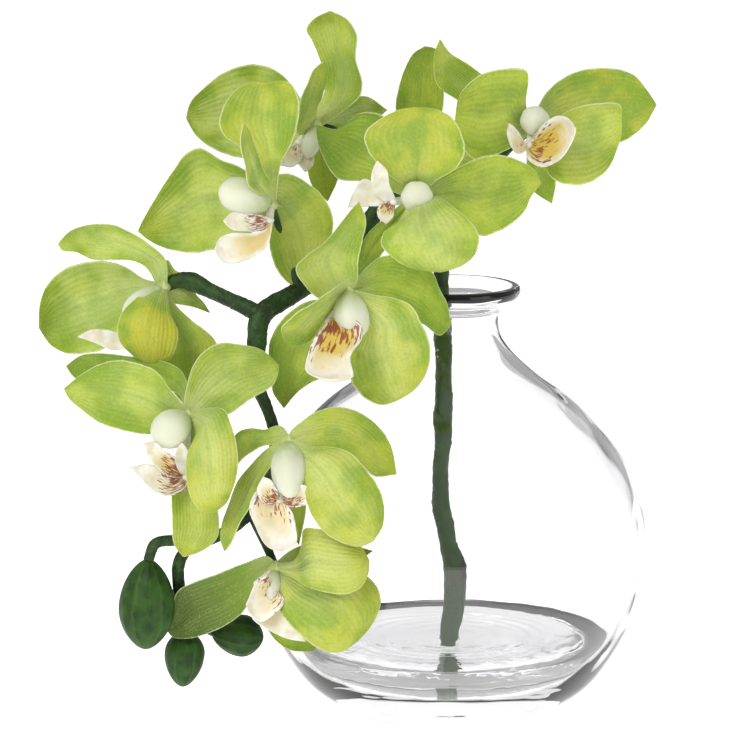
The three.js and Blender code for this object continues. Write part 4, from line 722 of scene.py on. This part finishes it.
def petal_fabric():
    """Printed and heat-set polyester petal: matt, with woven fuzz, parallel veins
    and a soft glow where light comes through it."""
    settings = bpy.context.scene.orchid_petals
    material = new_material("petal_printed_polyester")
    uv = add_node(material, "ShaderNodeUVMap", uv_map="blade").outputs[0]
    split = add_node(material, "ShaderNodeSeparateXYZ", {0: uv})
    v, u = split.outputs[0], split.outputs[1]
    place = add_node(material, "ShaderNodeTexCoord").outputs["Object"]
    deep, gold, pale, face = (
        add_node(material, "ShaderNodeAttribute", attribute_name=key).outputs["Fac"]
        for key in ("deep", "gold", "pale", "face"))

    def times(first, second):
        return reckon(material, "MULTIPLY", first, second)

    def plus(first, second):
        return reckon(material, "ADD", first, second)

    out = reckon(material, "ABSOLUTE", reckon(material, "SUBTRACT", times(v, 2.0), 1.0))

    # Dye clouds about 14 mm across shift the green between leaf and lime.
    clouds = add_node(material, "ShaderNodeTexNoise", {
        "Vector": place, "Scale": 1 / 0.014, "Detail": 2.0, "Roughness": 0.55}).outputs["Fac"]
    drift = add_node(material, "ShaderNodeTexNoise", {
        "Vector": place, "Scale": 1 / 0.010, "Detail": 1.0, "Distortion": 0.4}).outputs["Fac"]
    base = blend_colours(material, span(material, clouds, 0.38, 0.62), linear("#8CA52B"),
        linear(settings.colour))
    # Greener margins, most of all towards the tip.
    margin = span(material, plus(plus(out, times(u, 0.5)), times(drift, 0.25)), 0.7, 1.6)
    base = blend_colours(material, times(margin, plus(times(deep, 0.6), 0.22)), base, linear("#75982B"))
    base = blend_colours(material, times(deep, 0.3), base, linear("#769A30"))
    # A warm blush where the clouds are high.
    blush = span(material, plus(clouds, times(u, 0.2)), 0.48, 0.72)
    base = blend_colours(material, times(times(gold, 0.7), blush), base, linear("#C2B534"))
    # Pale cream fans out from the foot along the middle.
    fan = times(span(material, plus(out, times(drift, 0.3)), 1.1, 0.15), span(material, u, 0.0, 0.12))
    fan = times(fan, span(material, u, 1.0, 0.3))
    base = blend_colours(material, times(fan, plus(times(pale, 0.62), 0.04)), base, linear("#D6DF9C"))
    bloom = span(material, plus(times(drift, 0.5), times(clouds, 0.7)), 0.5, 0.8)
    base = blend_colours(material, times(bloom, times(pale, 0.4)), base, linear("#DCE3AE"))
    foot = times(span(material, u, 0.3, 0.02), 0.45)
    base = blend_colours(material, foot, base, linear("#D3D8A0"))
    # Painted shade: a darker line down the midrib crease, and dark olive towards the
    # tip of blades that hang in shadow, where the deep green look runs above 1.
    rib = times(span(material, out, 0.09, 0.0), span(material, u, 0.95, 0.4))
    base = blend_colours(material, times(rib, 0.3), base, linear("#7C9A33"))
    painted_olive_shade = times(span(material, deep, 1.0, 2.0), span(material, u, 0.15, 0.75))
    base = blend_colours(material, times(painted_olive_shade, 0.85), base, linear("#3C4F1A"))
    back = times(reckon(material, "SUBTRACT", 1.0, face), 0.3)
    base = blend_colours(material, back, base, linear("#B9C67A"))

    # Fourteen veins run from foot to tip, each wandering a little and fading.
    wander = add_node(material, "ShaderNodeTexNoise", {
        "Vector": place, "Scale": 1 / 0.009, "Detail": 1.0}).outputs["Fac"]
    stripe = reckon(material, "SINE", plus(times(v, VEINS * 2 * math.pi), times(wander, 5.0)))
    broken = span(material, drift, 0.35, 0.6)
    vein = times(times(span(material, stripe, 0.4, 1.0), broken), 0.13)
    base = blend_colours(material, vein, base, linear("#C9D68C"))
    furrow = times(times(span(material, stripe, -0.5, -1.0), broken), 0.12)
    base = blend_colours(material, furrow, base, linear("#849A35"))
    # Fuzz: threads and print dots about 0.5 mm across.
    fuzz = add_node(material, "ShaderNodeTexNoise", {
        "Vector": place, "Scale": 1 / 0.0009, "Detail": 2.0, "Roughness": 0.6}).outputs["Fac"]
    base = blend_colours(material, span(material, fuzz, 0.5, 0.72, 0.0, 0.2), base, linear("#C9D580"))
    base = blend_colours(material, span(material, fuzz, 0.5, 0.3, 0.0, 0.25), base, linear("#819430"))
    # The cut edge shows pale, uncoloured threads.
    rim = times(span(material, plus(out, times(fuzz, 0.05)), 0.985, 1.02), 0.7)
    base = blend_colours(material, rim, base, linear("#D5DBA8"))

    height = plus(times(fuzz, 0.3), times(stripe, 0.5))
    bump = add_node(material, "ShaderNodeBump", {"Height": height, "Strength": 0.35, "Distance": 0.0004})
    shader = add_node(material, "ShaderNodeBsdfPrincipled", {
        "Base Color": base, "Roughness": 0.58, "Normal": bump.outputs[0],
        "Subsurface Weight": 0.25, "Subsurface Radius": (0.8, 1.0, 0.2), "Subsurface Scale": 0.0018,
        "Sheen Weight": 0.1, "Sheen Roughness": 0.5, "Specular IOR Level": 0.3})
    return output(material, shader)


def lip_fabric():
    """White moulded polyester, airbrushed yellow along the throat and streaked
    near its root with red-brown dye."""
    material = new_material("lip_airbrushed_polyester")
    uv = add_node(material, "ShaderNodeUVMap", uv_map="blade").outputs[0]
    split = add_node(material, "ShaderNodeSeparateXYZ", {0: uv})
    v, u = split.outputs[0], split.outputs[1]
    place = add_node(material, "ShaderNodeTexCoord").outputs["Object"]
    gold, speck = (add_node(material, "ShaderNodeAttribute", attribute_name=key).outputs["Fac"]
                   for key in ("gold", "speck"))
    noise = add_node(material, "ShaderNodeTexNoise", {
        "Vector": place, "Scale": 1 / 0.004, "Detail": 2.0}).outputs["Fac"]
    base = blend_colours(material, span(material, noise, 0.35, 0.7), linear("#F2EFE6"), linear("#DCD8BE"))
    out = reckon(material, "ABSOLUTE", reckon(material, "SUBTRACT", reckon(material, "MULTIPLY", v, 2.0),
        1.0))
    blush = span(material, reckon(material, "ADD", u, noise), 1.0, 1.5)
    base = blend_colours(material, reckon(material, "MULTIPLY", blush, 0.4), base, linear("#E4D3C4"))
    spread = reckon(material, "ADD", u, reckon(material, "MULTIPLY", noise, 0.4))
    throat = reckon(material, "MULTIPLY", span(material, spread, 0.62, 0.98, 1.0, 0.0),
                    span(material, out, 1.0, 0.55))
    base = blend_colours(material, reckon(material, "MULTIPLY", throat, gold), base, linear("#D3B850"))
    # Streaks about 0.5 mm wide run along the lobe, thickest at the root.
    grain = add_node(material, "ShaderNodeCombineXYZ", {
        0: reckon(material, "MULTIPLY", v, 16.0), 1: reckon(material, "MULTIPLY", u, 7.0)})
    streaks = add_node(material, "ShaderNodeTexNoise", {
        "Vector": grain.outputs[0], "Scale": 1.0, "Detail": 2.0, "Roughness": 0.6}).outputs["Fac"]
    zone = reckon(material, "MULTIPLY", span(material, spread, 0.86, 0.45), speck)
    mark = span(material, reckon(material, "ADD", streaks, reckon(material, "MULTIPLY", zone, 0.18)), 0.6,
        0.68)
    mark = reckon(material, "MULTIPLY", mark, span(material, zone, 0.05, 0.4))
    base = blend_colours(material, reckon(material, "MULTIPLY", mark, 0.9), base, linear("#86301A"))
    bump = add_node(material, "ShaderNodeBump", {"Height": noise, "Strength": 0.4, "Distance": 0.0006})
    shader = add_node(material, "ShaderNodeBsdfPrincipled", {
        "Base Color": base, "Roughness": 0.5, "Normal": bump.outputs[0],
        "Subsurface Weight": 0.3, "Subsurface Radius": (1.0, 0.9, 0.6), "Subsurface Scale": 0.002})
    return output(material, shader)


def column_plastic():
    """Milky soft vinyl that lets light in, pale green at its foot."""
    material = new_material("column_milky_vinyl")
    uv = add_node(material, "ShaderNodeUVMap", uv_map="blade").outputs[0]
    u = add_node(material, "ShaderNodeSeparateXYZ", {0: uv}).outputs[1]
    place = add_node(material, "ShaderNodeTexCoord").outputs["Object"]
    base = blend_colours(material, span(material, u, 0.05, 0.7), linear("#C0CE8C"), linear("#F0F2DC"))
    lumps = add_node(material, "ShaderNodeTexNoise", {
        "Vector": place, "Scale": 1 / 0.0035, "Detail": 2.0}).outputs["Fac"]
    base = blend_colours(material, span(material, lumps, 0.45, 0.7, 0.0, 0.5), base, linear("#F1F4DC"))
    bump = add_node(material, "ShaderNodeBump", {"Height": lumps, "Strength": 0.5, "Distance": 0.0008})
    shader = add_node(material, "ShaderNodeBsdfPrincipled", {
        "Base Color": base, "Roughness": 0.5, "Normal": bump.outputs[0], "Subsurface Weight": 0.7,
        "Subsurface Radius": (0.9, 1.0, 0.7), "Subsurface Scale": 0.004, "Transmission Weight": 0.25,
        "Specular IOR Level": 0.3})
    return output(material, shader)


def stem_plastic():
    """Wire stem dipped in dark green latex: a bitty skin with shallow lumps."""
    settings = bpy.context.scene.orchid_stem
    material = new_material("stem_dipped_latex")
    place = add_node(material, "ShaderNodeTexCoord").outputs["Object"]
    noise = add_node(material, "ShaderNodeTexNoise", {
        "Vector": place, "Scale": 1 / 0.006, "Detail": 4.0}).outputs["Fac"]
    base = blend_colours(
        material, span(material, noise, 0.35, 0.65), linear("#172C0C"), linear(settings.colour))
    fine = add_node(material, "ShaderNodeTexNoise", {
        "Vector": place, "Scale": 1 / 0.0014, "Detail": 3.0, "Roughness": 0.65}).outputs["Fac"]
    base = blend_colours(material, span(material, fine, 0.55, 0.75, 0.0, 0.6), base, linear("#4C6E2A"))
    base = blend_colours(material, span(material, fine, 0.45, 0.3, 0.0, 0.5), base, linear("#101C0A"))
    # Painted light: the straight stem is lightened to a paler green from the vase's neck down, a painted
    # sheen of the glass around it.
    height = add_node(material, "ShaderNodeSeparateXYZ", {0: place})
    low = span(material, height.outputs[2], 0.150, 0.120)
    straight = span(material, height.outputs[0], -0.012, -0.006)
    painted_glass_sheen = reckon(material, "MULTIPLY", low, straight)
    base = blend_colours(material, reckon(material, "MULTIPLY", painted_glass_sheen, 0.4), base, linear("#41661C"))
    knot = reckon(material, "MULTIPLY", span(material, height.outputs[2], 0.046, 0.050),
                  span(material, height.outputs[2], 0.058, 0.053))
    knot = reckon(material, "MULTIPLY", knot, span(material, height.outputs[0], 0.0025, 0.0045))
    base = blend_colours(material, knot, base, linear("#2C1E12"))
    bump = add_node(material, "ShaderNodeBump", {"Height": fine, "Strength": 0.7, "Distance": 0.0007})
    shader = add_node(material, "ShaderNodeBsdfPrincipled", {
        "Base Color": base, "Roughness": 0.5, "Normal": bump.outputs[0], "Specular IOR Level": 0.35})
    return output(material, shader)


def bud_plastic():
    """Moulded foam bud, dyed dark green, with faint broad ribs from foot to tip."""
    material = new_material("bud_dyed_foam")
    uv = add_node(material, "ShaderNodeUVMap", uv_map="blade").outputs[0]
    split = add_node(material, "ShaderNodeSeparateXYZ", {0: uv})
    v, u = split.outputs[0], split.outputs[1]
    place = add_node(material, "ShaderNodeTexCoord").outputs["Object"]
    noise = add_node(material, "ShaderNodeTexNoise", {
        "Vector": place, "Scale": 1 / 0.005, "Detail": 3.0}).outputs["Fac"]
    base = blend_colours(material, span(material, noise, 0.35, 0.65), linear("#1F3A10"), linear("#31541A"))
    stripe = reckon(material, "SINE", reckon(material, "ADD", reckon(
        material, "MULTIPLY", v, 12 * 2 * math.pi), reckon(material, "MULTIPLY", noise, 5.0)))
    base = blend_colours(material, span(material, stripe, 0.4, 1.0, 0.0, 0.3), base, linear("#456C26"))
    base = blend_colours(material, span(material, u, 0.75, 1.0, 0.0, 0.35), base, linear("#3E5C20"))
    bump = add_node(material, "ShaderNodeBump", {"Height": stripe, "Strength": 0.3, "Distance": 0.0004})
    shader = add_node(material, "ShaderNodeBsdfPrincipled", {
        "Base Color": base, "Roughness": 0.55, "Normal": bump.outputs[0], "Specular IOR Level": 0.25})
    return output(material, shader)


def clear_glass():
    """Blown soda-lime glass, colourless, fire-polished, with slow waves in its wall."""
    material = new_material("vase_clear_glass")
    place = add_node(material, "ShaderNodeTexCoord").outputs["Object"]
    waves = add_node(material, "ShaderNodeTexNoise", {
        "Vector": place, "Scale": 1 / 0.022, "Detail": 1.0}).outputs["Fac"]
    bump = add_node(material, "ShaderNodeBump", {"Height": waves, "Strength": 0.5, "Distance": 0.001})
    shader = add_node(material, "ShaderNodeBsdfPrincipled", {
        "Base Color": (0.99, 0.985, 0.995, 1), "Roughness": 0.0, "IOR": 1.5, "Transmission Weight": 1.0,
        "Normal": bump.outputs[0]})
    return output(material, shader)


def clear_resin():
    """Set clear resin, poured round the stem as a shallow pool."""
    material = new_material("pool_clear_resin")
    place = add_node(material, "ShaderNodeTexCoord").outputs["Object"]
    waves = add_node(material, "ShaderNodeTexNoise", {
        "Vector": place, "Scale": 1 / 0.009, "Detail": 2.0}).outputs["Fac"]
    bump = add_node(material, "ShaderNodeBump", {"Height": waves, "Strength": 0.35, "Distance": 0.0008})
    shader = add_node(material, "ShaderNodeBsdfPrincipled", {
        "Base Color": (1, 1, 1, 1), "Roughness": 0.0, "IOR": 1.42, "Transmission Weight": 1.0,
        "Normal": bump.outputs[0]})
    return output(material, shader)


def blade_of(row, seed):
    settings = bpy.context.scene.orchid_petals
    bloom, piece, left, tip, right, near, cup, deep, gold, pale = row
    looks = {"deep": deep, "gold": gold, "pale": pale}
    return blade(BLOOMS[bloom], (left, tip, right), near, cup, settings.thickness, settings.edge,
                 settings.rows, settings.columns, settings.ruffle, settings.crease, 1.7, seed, looks)


class ORCHID_OT_petals(Operator):
    """Makes each bloom's two petals"""

    bl_idname = "orchid.petals"
    bl_label = "Petals"

    def execute(self, context):
        material = petal_fabric()
        rows = [(i, row) for i, row in enumerate(BLADES) if row[1] != "sepals"]
        if len(rows) != 2 * len(BLOOMS):
            raise ValueError("each bloom has two petals")
        for seed, row in rows:
            node = f"{row[0]}_{row[1]}"
            piece = add_mesh(node + "_look", *blade_of(row, seed), material)
            finish_piece(piece, node)
        return {"FINISHED"}


class ORCHID_OT_sepals(Operator):
    """Makes each bloom's whorl of three sepals with its round foot"""

    bl_idname = "orchid.sepals"
    bl_label = "Sepals"

    def execute(self, context):
        material = petal_fabric()
        heart_size = context.scene.orchid_blooms.heart / MM
        for bloom, heart in BLOOMS.items():
            parts = [blade_of(row, i) for i,
                row in enumerate(BLADES) if row[0] == bloom and row[1] == "sepals"]
            if len(parts) != 3:
                raise ValueError("each bloom has three sepals")
            low = (heart[0], heart[1] - heart_size / 2, heart[2])
            high = (heart[0], heart[1] + heart_size / 2, heart[2])
            ball = plump(low, high, heart_size, 0.5, 20, 12, 1.0, 0)
            count = len(ball[0])
            extras = {key: np.zeros(count) for key in parts[0][2] if key != "blade"}
            parts.append((ball[0], ball[1], {"blade": ball[2]["blade"] * 0.1, **extras}))
            piece = add_mesh(bloom + "_sepals_look", *join(parts), material)
            finish_piece(piece, bloom + "_sepals")
        return {"FINISHED"}


class ORCHID_OT_lips(Operator):
    """Makes each bloom's lobed lip"""

    bl_idname = "orchid.lips"
    bl_label = "Lips"

    def execute(self, context):
        material = lip_fabric()
        thick = context.scene.orchid_blooms.lip_thickness
        for bloom, heart in BLOOMS.items():
            root = ROOTS[bloom]
            parts = []
            for seed, (owner, left, tip, right, near, cup, gold, speck) in enumerate(LIPS):
                if owner != bloom:
                    continue
                looks = {"gold": gold, "speck": speck}
                parts.append(blade(root, (left, tip, right), near, cup, thick, thick * 0.5,
                                   28, 14, 0.3 * MM, 0.25 * MM, 1.2, 100 + seed, looks))
            if not parts:
                raise ValueError("each lip has a lobe")
            link = limb([(*heart, 2.4), (*root, 2.8)], 12, 8, 0, 0)
            joint = plump((root[0], root[1] - 1.7, root[2]), (root[0], root[1] + 1.7, root[2]),
                          3.4, 0.5, 14, 9, 1.0, 0)
            for points, faces, extras in (link, joint):
                flat = {key: np.zeros(len(points)) for key in ("face", "gold", "speck")}
                parts.append((points, faces, {"blade": extras["blade"] * 0.1, **flat}))
            piece = add_mesh(bloom + "_lip_look", *join(parts), material)
            finish_piece(piece, bloom + "_lip")
        return {"FINISHED"}


class ORCHID_OT_columns(Operator):
    """Makes each bloom's column"""

    bl_idname = "orchid.columns"
    bl_label = "Columns"

    def execute(self, context):
        material = column_plastic()
        for bloom, head, thick, widest in COLUMNS:
            if bloom not in BLOOMS:
                raise ValueError("a column belongs to a bloom")
            body = plump(BLOOMS[bloom], head, thick, widest, 36, 24, 0.55, 0.06)
            piece = add_mesh(bloom + "_column_look", *body, material)
            finish_piece(piece, bloom + "_column")
        return {"FINISHED"}


class ORCHID_OT_stem(Operator):
    """Makes the main stem with its side branches"""

    bl_idname = "orchid.stem"
    bl_label = "Stem"

    def execute(self, context):
        lumps = context.scene.orchid_stem.lumps
        if any(row[0][:3] == row[-1][:3] for row in BRANCHES):
            raise ValueError("a branch has length")
        parts = [limb(STEM, 28, 12, lumps, 1)]
        parts += [limb(row, 18, 12, lumps * 0.6, 2 + i) for i, row in enumerate(BRANCHES)]
        piece = add_mesh("stem_look", *join(parts), stem_plastic())
        finish_piece(piece, "stem")
        return {"FINISHED"}


class ORCHID_OT_buds(Operator):
    """Makes the closed buds"""

    bl_idname = "orchid.buds"
    bl_label = "Buds"

    def execute(self, context):
        material = bud_plastic()
        for name, foot, tip, thick, widest in BUDS:
            if not 0 < widest < 1:
                raise ValueError("a bud is widest part-way")
            body = plump(foot, tip, thick, widest, 48, 36, 0.56, 0.03)
            piece = add_mesh(name + "_look", *body, material)
            finish_piece(piece, name)
        return {"FINISHED"}


class ORCHID_OT_vase(Operator):
    """Makes the hollow glass globe"""

    bl_idname = "orchid.vase"
    bl_label = "Vase"

    def execute(self, context):
        sides = context.scene.orchid_vase.sides
        if len(VASE_INSIDE) < 3:
            raise ValueError("the vase is hollow")
        body = lathe(VASE_OUTSIDE + VASE_INSIDE, sides, 260)
        piece = add_mesh("glass_vase_look", *body, clear_glass())
        finish_piece(piece, "glass_vase")
        return {"FINISHED"}


class ORCHID_OT_water(Operator):
    """Makes the pool at the bottom of the vase: its surface climbs by falling
    exponentials at the glass and the stem, and holds two groups of low sine rings"""

    bl_idname = "orchid.water"
    bl_label = "Pool"

    def execute(self, context):
        settings = context.scene.orchid_vase
        level, gap = settings.water_level / MM, settings.water_gap / MM
        wall = [(r, z) for r, z in VASE_INSIDE if z < level]
        above = [(r, z) for r, z in VASE_INSIDE if z >= level][-1]
        if not wall or settings.water_gap >= settings.water_level:
            raise ValueError("the pool's surface lies above the vase's floor")
        share = (level - wall[0][1]) / (above[1] - wall[0][1])
        edge = wall[0][0] + share * (above[0] - wall[0][0]) - gap
        radius = np.linspace(edge, 0, 90)
        climb = 0.7 * np.exp(-(edge - radius) / 0.9) + 0.6 * np.exp(-np.maximum(radius - 3.2, 0) / 0.8)
        rings = 0.16 * np.sin(radius * 2 * np.pi / 5.2) * np.exp(-((radius - 31) / 8) ** 2)
        rings += 0.1 * np.sin(radius * 2 * np.pi / 7) * np.exp(-((radius - 14) / 6) ** 2)
        surface = list(zip(radius, level + climb + rings))
        profile = [(max(r - gap, 0), z + gap) for r, z in reversed(wall)] + surface
        body = lathe(profile, settings.sides, 0)
        piece = add_mesh("water_look", *body, clear_resin())
        finish_piece(piece, "water")
        return {"FINISHED"}


class ORCHID_OT_stage(Operator):
    """Sets the camera, the pale floor and the soft lights"""

    bl_idname = "orchid.stage"
    bl_label = "Stage"

    def execute(self, context):
        settings = context.scene.orchid_stage
        scene = context.scene
        data = bpy.data.cameras.new("camera")
        data.sensor_width = 36
        data.lens = SHEET_AWAY / PICTURE_WIDTH * 36
        data.clip_end = 50
        camera = bpy.data.objects.new("camera", data)
        camera.location = EYE * MM
        camera.rotation_euler = (math.radians(90 - EYE_PITCH), 0, 0)
        scene.collection.objects.link(camera)
        scene.camera = camera
        scene.view_settings.view_transform = "Standard"

        material = new_material("floor_white_paper")
        shader = add_node(material, "ShaderNodeBsdfPrincipled", {
            "Base Color": (0.9, 0.9, 0.9, 1), "Roughness": 0.9, "Specular IOR Level": 0.1,
            "Emission Color": (1, 1, 1, 1), "Emission Strength": settings.floor_glow})
        output(material, shader)
        mesh = bpy.data.meshes.new("floor")
        corners = [(x * FLOOR_REACH, y * FLOOR_REACH, 0) for x, y in ((-1, -1), (1, -1), (1, 1), (-1, 1))]
        mesh.from_pydata(corners, [], [(0, 1, 2, 3)])
        floor = bpy.data.objects.new("floor", mesh)
        mesh.materials.append(material)
        scene.collection.objects.link(floor)

        world = bpy.data.worlds.new("surroundings")
        world.use_nodes = True
        world.node_tree.nodes["Background"].inputs[0].default_value = (1, 1, 1, 1)
        world.node_tree.nodes["Background"].inputs[1].default_value = settings.sky
        scene.world = world
        lights = [
            ("key", (-1.3, -1.4, 1.7), 1.2, settings.key_power),
            ("fill", (1.6, -1.2, 0.9), 1.4, settings.key_power * 0.3),
        ]
        for name, place, size, power in lights:
            lamp = bpy.data.lights.new(name, "AREA")
            lamp.size = size
            lamp.energy = power
            light = bpy.data.objects.new(name, lamp)
            light.location = place
            away = np.array(place) - np.array(LIGHT_AIM)
            pan = math.atan2(away[0], -away[1])
            tilt = math.atan2(math.hypot(away[0], away[1]), away[2])
            light.rotation_euler = (tilt, 0, pan)
            scene.collection.objects.link(light)
        return {"FINISHED"}


class ORCHID_PT_panel(Panel):
    """Lists the orchid's pieces in the sidebar"""

    bl_label = "Moth orchid stem in vase"
    bl_space_type = "VIEW_3D"
    bl_region_type = "UI"
    bl_category = "Orchid"

    def draw(self, context):
        layout = self.layout
        scene = context.scene
        for group in (scene.orchid_petals, scene.orchid_blooms, scene.orchid_stem, scene.orchid_vase,
            scene.orchid_stage):
            box = layout.box()
            for key in group.__annotations__:
                box.prop(group, key)
        for operator in OPERATORS:
            layout.operator(operator.bl_idname)


OPERATORS = (
    ORCHID_OT_petals, ORCHID_OT_sepals, ORCHID_OT_lips, ORCHID_OT_columns, ORCHID_OT_stem,
    ORCHID_OT_buds, ORCHID_OT_vase, ORCHID_OT_water, ORCHID_OT_stage,
)
CLASSES = (
    PetalSettings, BloomSettings, StemSettings, VaseSettings, StageSettings,
    *OPERATORS, ORCHID_PT_panel,
)


def register():
    for each in CLASSES:
        bpy.utils.register_class(each)
    bpy.types.Scene.orchid_petals = PointerProperty(type=PetalSettings)
    bpy.types.Scene.orchid_blooms = PointerProperty(type=BloomSettings)
    bpy.types.Scene.orchid_stem = PointerProperty(type=StemSettings)
    bpy.types.Scene.orchid_vase = PointerProperty(type=VaseSettings)
    bpy.types.Scene.orchid_stage = PointerProperty(type=StageSettings)


def unregister():
    for key in ("orchid_petals", "orchid_blooms", "orchid_stem", "orchid_vase", "orchid_stage"):
        delattr(bpy.types.Scene, key)
    for each in reversed(CLASSES):
        bpy.utils.unregister_class(each)


def main():
    register()
    bpy.ops.orchid.stage()
    bpy.ops.orchid.vase()
    bpy.ops.orchid.water()
    bpy.ops.orchid.stem()
    bpy.ops.orchid.buds()
    bpy.ops.orchid.sepals()
    bpy.ops.orchid.petals()
    bpy.ops.orchid.columns()
    bpy.ops.orchid.lips()


if __name__ == "__main__":
    main()
